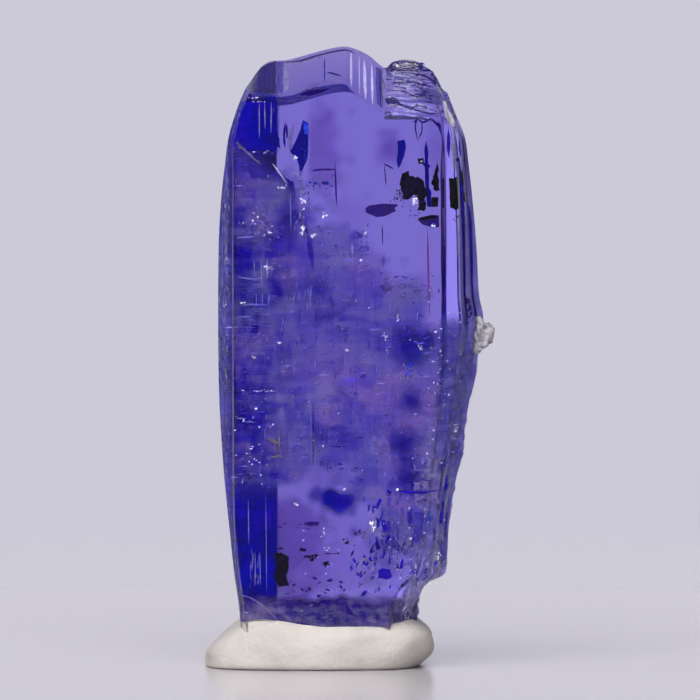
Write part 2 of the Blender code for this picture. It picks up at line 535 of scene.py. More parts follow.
    def shown_y(self, x: float, z: float) -> float:
        """The Y of the surface that a viewer in front sees at a place."""
        places = [self.corner_place(corner, z) for corner in self.corners]
        shown = places[-2:] + places[:10]
        y = along([(place.x, place.y) for place in shown], x, curved=False)
        rim, ridge = along(self.front_rim, x), along(self.ridge, x)
        if z > rim:
            thickness = self.half_thickness * along(self.thickness, z)
            y = max(y, min(1.0, (z - rim) / (ridge - rim)) * (self.ridge_y + thickness) - thickness)
        return y

    def back_y(self, x: float, z: float) -> float:
        """The Y of the crystal's back surface at a place."""
        places = [self.corner_place(corner, z) for corner in self.corners[15:9:-1]]
        return along([(place.x, place.y) for place in places], x, curved=False)

    def holds(self, x: float, z: float, margin: float) -> bool:
        """Whether a point of the front is inside the outline, with a margin, at its height and below it."""
        heights = (z, z - margin)
        left = max(along(self.left_edge, height) for height in heights)
        right = min(along(self.right_edge, height) for height in heights)
        return left + margin < x < right - margin

    def seen(self, x: float, z: float, depth: float) -> Vector:
        """The place inside that shows at a point of the front.

        Args:
            x: The point's X.
            z: The point's height.
            depth: How far behind the surface the place is.

        Returns:
            The place.
        """
        return Vector((x, self.shown_y(x, z) + depth, z - self.sight_slope * depth))


@dataclass
class Crystal:
    """The tanzanite crystal's skin, with its growth lines, steps and broken foot."""

    form: CrystalForm
    spacing: float = 0.13
    level_step: float = 0.13
    top_rings: int = 26
    absorb_colour: Colour = (0.175, 0.0, 0.965)
    absorb_density: float = 190.0
    ior: float = 1.69

    def relief(self, column: Column, x: float, z: float) -> float:
        """How far the surface stands out from the plain faces.

        Args:
            column: The column that the point is on.
            x: Its place across.
            z: Its height.

        Returns:
            The distance outwards.
        """
        face = column.start.face
        lines = noise.noise(Vector((column.run / 0.2, z / 9.0, 1.0)))
        broad = noise.noise(Vector((column.run / 0.8, z / 14.0, 5.0)))
        sway = noise.noise(Vector((x / 2.2, z / 3.5, 9.0)))
        broken = noise.noise(Vector((column.run / 0.4, z / 0.36, 3.0)))
        foot = ramp(z, 3.4, 1.8) * 0.07 * broken
        if face is Face.FRONT:
            return 0.006 * sway + 0.0012 * lines + 0.5 * foot
        if face is Face.BACK:
            return 0.008 * sway + 0.002 * lines + foot
        rough = ramp(z, 15.2, 13.0) * 0.09 * broken if x > 0.0 else 0.0
        if face is Face.STEP:
            return 0.003 * lines + rough
        if face in (Face.RIGHT_SIDE, Face.BACK_LEFT):
            return 0.02 * lines + 0.03 * broad + rough + foot
        return 0.008 * lines + 0.01 * broad + foot

    def side_point(self, column: Column, z: float) -> Vector:
        """A point of the crystal's side."""
        plan = self.form.plan(column, z)
        out = self.form.outward(column, z)
        fade = min(1.0, 12.0 * column.share * (1.0 - column.share))
        return Vector((*plan, z)) + out * fade * self.relief(column, plan.x, z)

    def rings(self) -> list[list[Vector]]:
        """The rings of the skin, up the sides from the foot and in over the ridged top."""
        form = self.form
        columns = form.columns(self.spacing)
        rims = [form.rim_height(column) for column in columns]
        made: list[list[Vector]] = []
        foot = [self.side_point(column, form.foot_z) for column in columns]
        made.append([Vector((0.9 * p.x, 0.9 * p.y, p.z + 0.05)) for p in foot])
        levels = round((max(rims) - form.foot_z) / self.level_step)
        for level in range(levels + 1):
            share = level / levels
            heights = [form.foot_z + share * (rim - form.foot_z) for rim in rims]
            made.append([self.side_point(c, z) for c, z in zip(columns, heights)])
        for ring in range(1, self.top_rings + 1):
            share = 0.995 * ring / self.top_rings
            places: list[Vector] = []
            for column, rim in zip(columns, rims):
                edge = form.plan(column, rim)
                spine = Vector((edge.x * (1.0 - 0.3 * share), form.ridge_y))
                inner = edge.lerp(spine, share)
                places.append(Vector((*inner, form.top_height(inner.x, inner.y))))
            made.append(places)
        return made

    def material(self) -> bpy.types.Material:
        """Clear violet-blue crystal that absorbs red and green along the light's way."""
        nodes, shader = Finish("tanzanite", (1.0, 1.0, 1.0), 0.02, transmission=1.0, ior=self.ior).start()
        absorb = nodes.add("ShaderNodeVolumeAbsorption")
        absorb.inputs["Color"].default_value = (*self.absorb_colour, 1.0)
        absorb.inputs["Density"].default_value = self.absorb_density
        output = nodes.tree.nodes["Material Output"]
        nodes.link(absorb.outputs["Volume"], output.inputs["Volume"])
        x, z = nodes.part("X"), nodes.part("Z")
        foot = nodes.remap(z, 3.3, 2.5, 0.0, 0.3)
        left = nodes.remap(x, -4.75, -5.0)
        right = nodes.math("MULTIPLY", nodes.remap(x, 4.1, 4.6), nodes.remap(z, 15.0, 13.6))
        worn = nodes.math("MAXIMUM", nodes.math("MAXIMUM", foot, left), right)
        specks = nodes.remap(nodes.noise((2.5, 2.5, 1.2), detail=4.0), 0.35, 0.65, 0.35, 1.0)
        frosted = nodes.math("MULTIPLY", worn, specks)
        nodes.link(nodes.remap(frosted, 0.0, 1.0, 0.015, 0.26), shader.inputs["Roughness"])
        facing = nodes.add("ShaderNodeSeparateXYZ")
        nodes.link(nodes.add("ShaderNodeNewGeometry").outputs["True Normal"], facing.inputs["Vector"])
        sides = nodes.remap(nodes.math("ABSOLUTE", facing.outputs["Y"]), 0.8, 0.97, 1.0, 0.04)
        crisp = nodes.math("MULTIPLY", sides, nodes.remap(x, 3.0, 4.0, 1.0, 0.1))
        lines = nodes.math("MULTIPLY", nodes.noise((7.0, 7.0, 0.12), detail=4.0), crisp)
        pits = nodes.math("MULTIPLY", nodes.noise((3.2, 3.2, 3.2), detail=5.0), worn)
        lobe = nodes.math("MULTIPLY", nodes.remap(x, 1.4, 1.75), nodes.remap(z, 22.75, 22.95))
        steps = nodes.math("MULTIPLY", nodes.remap(nodes.noise((0.7, 0.5, 2.4), 4.0), 0.3, 0.7), lobe)
        rough = nodes.math("MULTIPLY", pits, 3.0)
        height = nodes.math("ADD", nodes.math("ADD", lines, rough), nodes.math("MULTIPLY", steps, 4.0))
        nodes.bump(shader, height, 0.03)
        return nodes.owner

    def build(self) -> bpy.types.Object:
        """Makes the crystal and lets it stand for its CAD node."""
        piece = make_piece(loft(self.rings()), "crystal", self.material(), 20.0)
        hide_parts(CRYSTAL_NODE)
        return piece


@dataclass
class MatrixGrain:
    """The pale mineral grain that grew on the crystal's right side."""

    centre: tuple[float, float, float] = (6.02, -0.75, 13.8)
    radii: tuple[float, float, float] = (0.52, 0.6, 0.74)

    def build(self) -> bpy.types.Object:
        """Makes the grain as a knobbly lump."""
        mesh = bmesh.new()
        bmesh.ops.create_icosphere(mesh, subdivisions=5, radius=1.0)
        for vert in mesh.verts:
            way = vert.co.normalized()
            lumps = noise.noise(way * 1.4 + Vector((3.0, 1.0, 4.0)))
            knobs = 1.0 - abs(noise.noise(way * 3.1))
            fine = noise.noise(way * 9.0)
            vert.co = way * (0.72 + 0.42 * lumps + 0.22 * knobs + 0.07 * fine)
        bmesh.ops.scale(mesh, verts=mesh.verts[:], vec=self.radii)
        bmesh.ops.translate(mesh, verts=mesh.verts[:], vec=self.centre)
        nodes, shader = Finish("pale_grain", (0.42, 0.40, 0.46), 0.5).start()
        mottled = nodes.remap(nodes.noise((2.2, 2.2, 2.2), detail=5.0), 0.4, 0.62)
        colour = nodes.mix_colour(mottled, (0.18, 0.17, 0.23), (0.50, 0.48, 0.53))
        nodes.link(colour, shader.inputs["Base Color"])
        nodes.bump(shader, nodes.noise((8.0, 8.0, 8.0), detail=5.0), 0.05)
        return make_piece(mesh, "pale_grain", nodes.owner, 50.0)


@dataclass
class PuttyPad:
    """The pressed lump of off-white putty round the crystal's foot."""

    form: CrystalForm
    segments: int = 220
    top: Profile = (
        (-5.4, 1.0), (-4.6, 1.55), (-3.9, 1.9), (-3.2, 2.02), (-2.1, 1.9), (-1.0, 1.75), (0.5, 1.7),
        (1.8, 1.76), (3.3, 1.88), (3.9, 1.75), (4.2, 1.5),
    )
    left: Profile = ((0.0, -5.2), (0.03, -5.36), (0.3, -5.38), (0.6, -5.3), (0.8, -4.95), (1.0, -4.0))
    right: Profile = (
        (0.0, 3.45), (0.12, 3.72), (0.3, 4.02), (0.5, 4.12), (0.7, 4.1), (0.85, 3.95), (1.0, 3.4),
    )
    half_depth: Profile = ((0.0, 3.6), (0.03, 3.85), (0.25, 3.95), (0.6, 3.95), (0.85, 3.86), (1.0, 3.64))

    def outline(self, turn: float, level: float) -> Vector:
        """The X and Y of the pad's side.

        Args:
            turn: The way round, in radians from +X.
            level: The height's share, from 0 at the ground to 1 at the top.

        Returns:
            The place.
        """
        left, right = along(self.left, level), along(self.right, level)
        way = Vector((math.cos(turn), math.sin(turn)))
        power = 3.2
        size = (abs(way.x) ** power + abs(way.y) ** power) ** (-1.0 / power)
        half = 0.5 * (right - left)
        deep = along(self.half_depth, level)
        return Vector((0.5 * (left + right) + way.x * size * half, way.y * size * deep))

    def seat(self, turns: Sequence[float], grow: float) -> list[Vector]:
        """The X and Y of the crystal's outline near its foot.

        Args:
            turns: The ways round, in radians from +X.
            grow: How far outside the crystal.

        Returns:
            A place for each way.
        """
        z = self.form.foot_z + 0.4
        walls: list[tuple[Vector, float]] = []
        for column in self.form.columns(9.0):
            out = self.form.outward(column, z).xy
            walls.append((out, out.dot(self.form.plan(column, z))))
        places: list[Vector] = []
        for turn in turns:
            way = Vector((math.cos(turn), math.sin(turn)))
            reach = min(far / out.dot(way) for out, far in walls if out.dot(way) > 0.05)
            places.append(way * (reach + grow))
        return places

    def build_mesh(self) -> bmesh.types.BMesh:
        """A rounded lump, flat underneath, with finger dents and the crystal's seat in its top."""
        turns = [2.0 * math.pi * i / self.segments for i in range(self.segments)]
        rings: list[list[Vector]] = []
        for step in range(19):
            level = (step / 18) ** 1.3
            places: list[Vector] = []
            for turn in turns:
                plan = self.outline(turn, level)
                out = Vector((math.cos(turn), math.sin(turn)))
                dent = noise.noise(Vector((plan.x / 1.7, plan.y / 1.7, 2.2 * level)))
                fine = noise.noise(Vector((plan.x / 0.4, plan.y / 0.4, 6.0 * level)))
                plan += out * (0.16 * dent + 0.02 * fine) * (0.4 + 0.6 * level)
                places.append(Vector((plan.x, plan.y, level * along(self.top, plan.x))))
            rings.append(places)
        seat = self.seat(turns, 0.03)
        for step in range(1, 15):
            share = step / 14
            places = []
            for edge, inner in zip(rings[18], seat):
                plan = edge.xy.lerp(inner, share)
                swell = 0.10 * math.sin(math.pi * share)
                dent = 0.05 * noise.noise(Vector((plan.x / 0.9, plan.y / 0.9, 4.0)))
                places.append(Vector((plan.x, plan.y, along(self.top, plan.x) + swell + dent)))
            rings.append(places)
        for drop, shrink in ((0.3, 0.0), (0.0, 0.01), (-0.02, 0.4)):
            rings.append([Vector((*(p * (1.0 - shrink)), self.form.foot_z + drop)) for p in seat])
        return loft(rings)

    def material(self) -> bpy.types.Material:
        """Matt putty, faintly mottled and grainy."""
        nodes, shader = Finish("putty", (0.47, 0.442, 0.425), 0.75).start()
        mottled = nodes.remap(nodes.noise((0.9, 0.9, 0.9)), 0.35, 0.7)
        colour = nodes.mix_colour(mottled, (0.50, 0.468, 0.447), (0.445, 0.418, 0.402))
        nodes.link(colour, shader.inputs["Base Color"])
        grains = nodes.noise((5.0, 5.0, 5.0), detail=6.0)
        nodes.link(nodes.remap(grains, 0.3, 0.7, 0.65, 0.85), shader.inputs["Roughness"])
        nodes.bump(shader, grains, 0.05)
        return nodes.owner

    def build(self) -> bpy.types.Object:
        """Makes the pad and lets it stand for its CAD node."""
        piece = make_piece(self.build_mesh(), "putty", self.material(), 60.0)
        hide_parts(PAD_NODE)
        return piece


class Shape(Enum):
    """The form that a small inclusion has."""

    KITE = "kite"
    PLATE = "plate"


@dataclass(frozen=True)
class Speck:
    """One small inclusion.

    Its length runs along X and its width along Z until it is turned: first rolled about its length, then
    swung about the vertical and last turned in the plane of the front face.
    """

    place: Vector
    length: float
    width: float
    thickness: float = 0.02
    turn: float = 0.0
    roll: float = 0.0
    swing: float = 0.0
    shape: Shape = Shape.KITE

    def matrix(self) -> Matrix:
        """Where and how the speck lies, in degrees and millimetres."""
        sized = Matrix.Diagonal((self.length / 2, self.thickness / 2, self.width / 2, 1.0))
        rolled = Matrix.Rotation(math.radians(self.roll), 4, "X")
        swung = Matrix.Rotation(math.radians(self.swing), 4, "Z")
        turned = Matrix.Rotation(-math.radians(self.turn), 4, "Y")
        return Matrix.Translation(self.place) @ turned @ swung @ rolled @ sized


@dataclass
class Pile:
    """Many small inclusions that are gathered into one mesh."""

    seed: int
    batch: int = 16
    chance: random.Random = field(init=False)
    total: bmesh.types.BMesh = field(init=False)
    open: bmesh.types.BMesh = field(init=False)
    waiting: int = 0

    def __post_init__(self) -> None:
        """Starts empty, with its own chance."""
        self.chance = random.Random(self.seed)
        self.total = bmesh.new()
        self.open = bmesh.new()

    def merge(self) -> None:
        """Moves the parts that wait into the gathered mesh."""
        data = bpy.data.meshes.new("waiting")
        self.open.to_mesh(data)
        self.total.from_mesh(data)
        bpy.data.meshes.remove(data)
        self.open.free()
        self.open = bmesh.new()
        self.waiting = 0

    def start(self, shape: Shape) -> list[bmesh.types.BMVert]:
        """A new part of the shape given, one across in each direction from its middle."""
        if shape is Shape.KITE:
            made = bmesh.ops.create_uvsphere(self.open, u_segments=4, v_segments=2, radius=1.0)
        else:
            square = Matrix.Rotation(math.pi / 2, 4, "X") @ Matrix.Rotation(math.pi / 4, 4, "Z")
            made = bmesh.ops.create_cone(
                self.open, cap_ends=True, segments=4, radius1=1.4, radius2=1.3, depth=2.0, matrix=square
            )
        return made["verts"]

    def add(self, speck: Speck, uneven: float = 0.25) -> None:
        """Adds one inclusion.

        Args:
            speck: Its form and place.
            uneven: How far its corners stray, as a share of its size.
        """
        verts = self.start(speck.shape)
        for vert in verts:
            vert.co.x *= 1.0 + uneven * self.chance.uniform(-1.0, 1.0)
            vert.co.z *= 1.0 + uneven * self.chance.uniform(-1.0, 1.0)
        bmesh.ops.transform(self.open, matrix=speck.matrix(), verts=verts)
        self.waiting += 1
        if self.waiting >= self.batch:
            self.merge()

    def finish(self) -> bmesh.types.BMesh:
        """The gathered mesh, its faces outward."""
        self.merge()
        bmesh.ops.recalc_face_normals(self.total, faces=self.total.faces[:])
        return self.total


@dataclass(frozen=True)
class Ribbon:
    """A thin flat streak that shows along a line on the front face and tapers at its ends."""

    line: tuple[Place, ...]
    width: float
    depth: float
    thickness: float = 0.02
    ragged: float = 0.2

    def add_to(self, pile: Pile, form: CrystalForm) -> None:
        """Adds the streak to a pile.

        Args:
            pile: The pile that it goes into.
            form: The crystal's shape.
        """
        last = len(self.line) - 1
        xs = [(i / last, point[0]) for i, point in enumerate(self.line)]
        zs = [(i / last, point[1]) for i, point in enumerate(self.line)]
        made = bmesh.ops.create_grid(pile.open, x_segments=max(10, 8 * last), y_segments=2, size=0.5)
        shift = Vector([pile.chance.uniform(-9.0, 9.0) for _ in range(3)])
        for vert in made["verts"]:
            run, side = vert.co.x + 0.5, 2.0 * vert.co.y
            start, end = max(run - 0.03, 0.0), min(run + 0.03, 1.0)
            way = Vector((along(xs, end) - along(xs, start), along(zs, end) - along(zs, start))).normalized()
            taper = max(0.12, min(1.0, 5.0 * run * (1.0 - run)))
            stray = 1.0 + self.ragged * 2.0 * noise.noise(Vector((run * 9.0, side, 0.0)) + shift)
            reach = 0.5 * self.width * taper * stray * side
            vert.co = form.seen(along(xs, run) - way.y * reach, along(zs, run) + way.x * reach, self.depth)
        faces = list({face for vert in made["verts"] for face in vert.link_faces})
        bmesh.ops.solidify(pile.open, geom=faces, thickness=self.thickness)
        pile.merge()


@dataclass(frozen=True)
class Blot:
    """A flat patch with an irregular outline, given as points on the front face."""

    outline: tuple[Place, ...]
    depth: float
    thickness: float = 0.06
    ragged: float = 0.03

    def add_to(self, pile: Pile, form: CrystalForm) -> None:
        """Adds the patch to a pile.

        Args:
            pile: The pile that it goes into.
            form: The crystal's shape.
        """
        parts = 6
        count = len(self.outline)
        made = bmesh.ops.create_circle(pile.open, cap_ends=True, segments=count * parts, radius=1.0)
        shift = Vector([pile.chance.uniform(-9.0, 9.0) for _ in range(3)])
        for index, vert in enumerate(made["verts"]):
            start = self.outline[(index // parts) % count]
            end = self.outline[(index // parts + 1) % count]
            share = (index % parts) / parts
            x = start[0] + share * (end[0] - start[0])
            z = start[1] + share * (end[1] - start[1])
            stray = self.ragged * noise.noise_vector(Vector((x / 0.12, z / 0.12, 0.0)) + shift)
            vert.co = form.seen(x + stray.x, z + stray.y, self.depth)
        face = made["verts"][0].link_faces[0]
        grown = bmesh.ops.extrude_face_region(pile.open, geom=[face])["geom"]
        tops = [part for part in grown if isinstance(part, bmesh.types.BMVert)]
        bmesh.ops.translate(pile.open, verts=tops, vec=(0.0, self.thickness, 0.0))
        pile.merge()


# The depths of the painted glint chips, from just outside the surface to just inside.
SKIN = (-0.012, 0.004)


@dataclass(frozen=True)
class Swarm:
    """A loose group of specks round a point of the front face."""

    middle: Place
    spread: Place
    count: int
    sizes: tuple[float, float]
    depths: tuple[float, float] = (0.1, 0.6)
    slender: tuple[float, float] = (0.3, 0.9)
    turn: float = 0.0
    stray: float = 30.0
    tilt: float = 25.0
    shape: Shape = Shape.KITE

    def add_to(self, pile: Pile, form: CrystalForm) -> None:
        """Adds the specks to a pile.

        Args:
            pile: The pile that they go into.
            form: The crystal's shape.
        """
        chance = pile.chance
        for _ in range(self.count):
            x = self.middle[0] + self.spread[0] * max(-1.0, min(1.0, chance.gauss(0.0, 0.5)))
            z = self.middle[1] + self.spread[1] * max(-1.0, min(1.0, chance.gauss(0.0, 0.5)))
            size = chance.uniform(*self.sizes)
            place = form.seen(x, z, chance.uniform(*self.depths))
            if not form.holds(x, z, 0.06 + 0.5 * size):
                continue
            turn = self.turn + chance.gauss(0.0, self.stray)
            roll, swing = chance.gauss(0.0, self.tilt), chance.gauss(0.0, self.tilt)
            width = size * chance.uniform(*self.slender)
            pile.add(Speck(place, size, width, 0.02, turn, roll, swing, self.shape))


Inclusion = Ribbon | Blot | Swarm


@dataclass(frozen=True)
class Dressing:
    """How an inclusion's finish varies over it."""

    finish: Finish
    other: Colour
    grain: float = 6.0
    bump: float = 0.01

    def material(self) -> bpy.types.Material:
        """The finish with a mottled colour, an uneven roughness and a fine bump."""
        known = bpy.data.materials.get(self.finish.name)
        if known:
            return known
        nodes, shader = self.finish.start()
        pattern = nodes.noise((self.grain, self.grain, self.grain), detail=3.0)
        share = nodes.remap(pattern, 0.35, 0.65)
        nodes.link(nodes.mix_colour(share, self.finish.colour, self.other), shader.inputs["Base Color"])
        rough = self.finish.roughness
        spread = nodes.remap(pattern, 0.3, 0.7, 0.7 * rough, min(1.0, 1.3 * rough))
        nodes.link(spread, shader.inputs["Roughness"])
        nodes.bump(shader, pattern, self.bump)
        return nodes.owner


MILK = Dressing(Finish("milky_flakes", (0.42, 0.36, 0.95), 0.8, specular=0.05, alpha=0.6), (0.26, 0.2, 0.9))
STROKE = Dressing(Finish("pale_blue_strokes", (0.55, 0.54, 1.0), 0.8, specular=0.05), (0.36, 0.36, 1.0))
PALE = Dressing(Finish("pale_lilac_films", (0.66, 0.60, 1.0), 0.6, specular=0.05, alpha=0.5), (0.38, 0.32, 1.0))
SHEEN = Dressing(Finish("pale_sheen", (0.62, 0.61, 0.95), 0.6, specular=0.2, alpha=0.6), (0.45, 0.43, 0.9))
# Painted highlights: white chips and streaks at the surface stand in for glints and sparkles of light.
GLINT = Dressing(Finish("painted_glint_chips", (0.92, 0.92, 1.0), 0.45), (0.72, 0.72, 1.0))
# Painted highlights: the light caught by the front face's worn left ridge, and glints on the bevel beside it.
EDGE_HIGHLIGHT = Dressing(Finish("painted_edge_highlight", (0.34, 0.33, 0.56), 0.7, specular=0.05, alpha=0.75), (0.25, 0.22, 0.5))
AIR = Dressing(Finish("air_films", (1.0, 1.0, 1.0), 0.02, transmission=1.0, ior=0.592), (0.97, 0.97, 1.0))
# Graphite; in the upper window this finish also paints the dark reflections of the graphite cluster in the
# right side's faces.
COAL = Dressing(Finish("graphite", (0.006, 0.004, 0.012), 0.6, specular=0.04), (0.02, 0.01, 0.05))
GLOOM = Dressing(Finish("gloomy_films", (0.03, 0.0, 0.20), 0.6, specular=0.04, alpha=0.92), (0.01, 0.0, 0.32))
DUSK = Dressing(Finish("dusky_films", (0.10, 0.01, 0.30), 0.6, specular=0.04, alpha=0.8), (0.05, 0.01, 0.42))
DEEP = Dressing(Finish("deep_blue_films", (0.03, 0.0, 0.95), 0.6, specular=0.04, alpha=0.8), (0.02, 0.0, 0.72))
INK = Dressing(Finish("ink_blue_films", (0.0, 0.0, 0.46), 0.6, specular=0.04, alpha=0.9), (0.01, 0.0, 0.62))
SHADE = Dressing(Finish("shade_films", (0.03, 0.01, 0.50), 0.7, specular=0.04, alpha=0.4), (0.06, 0.04, 0.7))
ROYAL = Dressing(Finish("royal_blue_films", (0.04, 0.13, 1.0), 0.4, metallic=1.0), (0.02, 0.05, 1.0))
RUST = Dressing(Finish("rust_needle", (0.70, 0.06, 0.40), 0.6, specular=0.05, alpha=0.6), (0.5, 0.04, 0.3))
OLIVE = Dressing(Finish("iron_stain", (0.52, 0.48, 0.40), 0.7, specular=0.05, alpha=0.6), (0.40, 0.36, 0.30))


@dataclass(frozen=True)
class Tint:
    """A soft patch, as seen on the front face."""

    place: Place
    reach: Place
    strength: float

    def share(self, x: float, z: float) -> float:
        """The patch's strength at a place."""
        across = (x - self.place[0]) / self.reach[0]
        upward = (z - self.place[1]) / self.reach[1]
        stray = 1.0 + 0.9 * noise.noise(Vector((x / 0.5, z / 0.5, 41.0)))
        return self.strength * math.exp(-((stray * (across * across + upward * upward)) ** 1.5))


@dataclass(frozen=True)
class CloudFinish:
    """The finish of a sheet that is cloudy in part, with crossed level and upright streaks."""

    name: str
    deep: Colour
    bright: Colour
    warm: Colour
    strength: float
    contrast: float = 1.0

    def material(self) -> bpy.types.Material:
        """Reads how cloudy and how tinted each place is from the sheet's points."""
        nodes, shader = Finish(self.name, self.deep, 0.8, specular=0.05).start()
        share = nodes.add("ShaderNodeAttribute", attribute_name="cloud").outputs["Fac"]
        tint = nodes.add("ShaderNodeAttribute", attribute_name="tint").outputs["Fac"]
        level = nodes.remap(nodes.noise((0.6, 0.6, 3.4), detail=4.0), 0.42, 0.64, 0.0, 0.48)
        upright = nodes.remap(nodes.noise((3.6, 3.6, 0.6), detail=4.0), 0.42, 0.64, 0.0, 0.42)
        clouds = nodes.remap(nodes.noise((0.55, 0.4, 0.6), detail=3.0), 0.34, 0.66)
        cells = nodes.add("ShaderNodeTexVoronoi", distance="CHEBYCHEV")
        nodes.link(nodes.place((1.5, 0.2, 1.2)), cells.inputs["Vector"])
        cells.inputs["Scale"].default_value = 1.0
        split = nodes.add("ShaderNodeSeparateColor")
        nodes.link(cells.outputs["Color"], split.inputs["Color"])
        blocks = nodes.math("MULTIPLY", split.outputs["Red"], 0.36)
        lines = nodes.math("ADD", nodes.math("ADD", level, upright), blocks)
        mass = nodes.math("ADD", lines, nodes.math("MULTIPLY", clouds, 0.4))
        value = nodes.math("MULTIPLY", mass, self.contrast)
        value = nodes.math("ADD", nodes.math("ADD", value, tint), -0.26)
        hue = nodes.remap(nodes.noise((0.3, 0.3, 0.3), detail=2.0), 0.4, 0.6)
        pale = nodes.mix_colour(hue, self.bright, self.warm)
        nodes.link(nodes.mix_colour(value, self.deep, pale), shader.inputs["Base Color"])
        thick = nodes.remap(clouds, 0.0, 1.0, 0.6 * self.strength, self.strength)
        nodes.link(nodes.math("MULTIPLY", share, thick), shader.inputs["Alpha"])
        nodes.link(nodes.remap(lines, 0.0, 0.8, 0.7, 0.9), shader.inputs["Roughness"])
        nodes.bump(shader, lines, 0.02)
        return nodes.owner


@dataclass(frozen=True)
class Sheet:
    """A wavy sheet inside the crystal that keeps on its points how cloudy and how tinted it is."""

    name: str
    span: Place
    left: Profile
    right: Profile
    depth: float
    swing: float = 0.0
    wave: float = 0.3
    seed: float = 1.0
    parts: tuple[int, int] = (56, 96)

    def build(
        self,
        form: "CrystalForm",
        cloud: Callable[[float, float], float],
        tints: Sequence[Tint],
        finish: CloudFinish,
    ) -> bpy.types.Object:
        """Makes the sheet.

        Args:
            form: The crystal's shape.
            cloud: Gives how cloudy the sheet is at an X and Z, from 0 to 1.
            tints: Where it is paler, or darker.
            finish: What it is made of.

        Returns:
            The sheet's object.
        """
        mesh = bmesh.new()
        density = mesh.verts.layers.float.new("cloud")
        shade = mesh.verts.layers.float.new("tint")
        bmesh.ops.create_grid(mesh, x_segments=self.parts[0], y_segments=self.parts[1], size=1.0)
        for vert in mesh.verts:
            z = self.span[0] + (self.span[1] - self.span[0]) * 0.5 * (vert.co.y + 1.0)
            left, right = along(self.left, z), along(self.right, z)
            x = left + (right - left) * 0.5 * (vert.co.x + 1.0)
            wave = self.wave * noise.noise(Vector((x / 2.0, z / 2.4, self.seed)))
            inward = self.depth + wave + x * math.tan(math.radians(self.swing))
            place = form.seen(x, z, 0.0)
            near, far = place.y + min(0.1, self.depth), form.back_y(x, z) - 0.25
            depth = min(max(inward, 0.08), max(far, near) - place.y)
            vert.co = form.seen(x, z, max(depth, near - place.y))
            vert[density] = cloud(x, z)
            vert[shade] = sum(tint.share(x, z) for tint in tints)
        bmesh.ops.solidify(mesh, geom=mesh.faces[:], thickness=0.01)
        bmesh.ops.recalc_face_normals(mesh, faces=mesh.faces[:])
        return make_piece(mesh, self.name, finish.material(), 60.0)


@dataclass
class HazeZone:
    """Where the crystal is cloudy, as seen on its front face."""

    top: Profile = (
        (-4.9, 21.9), (-4.08, 21.67), (-3.0, 20.96), (-2.0, 20.25), (-1.04, 19.5), (-0.2, 18.75),
        (1.04, 17.83), (2.29, 16.79), (3.33, 15.75), (4.38, 14.58), (6.0, 14.1),
    )
    bottom: Profile = (
        (-4.9, 7.2), (-2.7, 7.4), (-1.46, 7.9), (0.6, 7.7), (1.4, 6.7), (2.2, 5.3), (3.1, 4.1),
        (4.4, 2.9), (5.6, 2.4),
    )

    def share(self, x: float, z: float, edge: float = 0.9) -> float:
        """How cloudy it is, from 0 to 1.

        Args:
            x: The place across.
            z: Its height.
            edge: How wide the zone's soft border is.

        Returns:
            The share.
        """
        top = along(self.top, x)
        bottom = along(self.bottom, x)
        loose = 0.3 + 0.7 * ramp(x, -2.8, -1.4)
        stray = 1.1 * loose * noise.noise(Vector((x / 1.3, z / 1.0, 2.0)))
        fine = 0.8 * loose * noise.noise(Vector((x / 0.45, z / 0.35, 8.0)))
        upper = ramp(top - z + stray + fine, -0.5 * edge, 1.3 * edge)
        lower = ramp(z - bottom + stray, -0.3 * edge, 0.7 * edge)
        return upper * lower


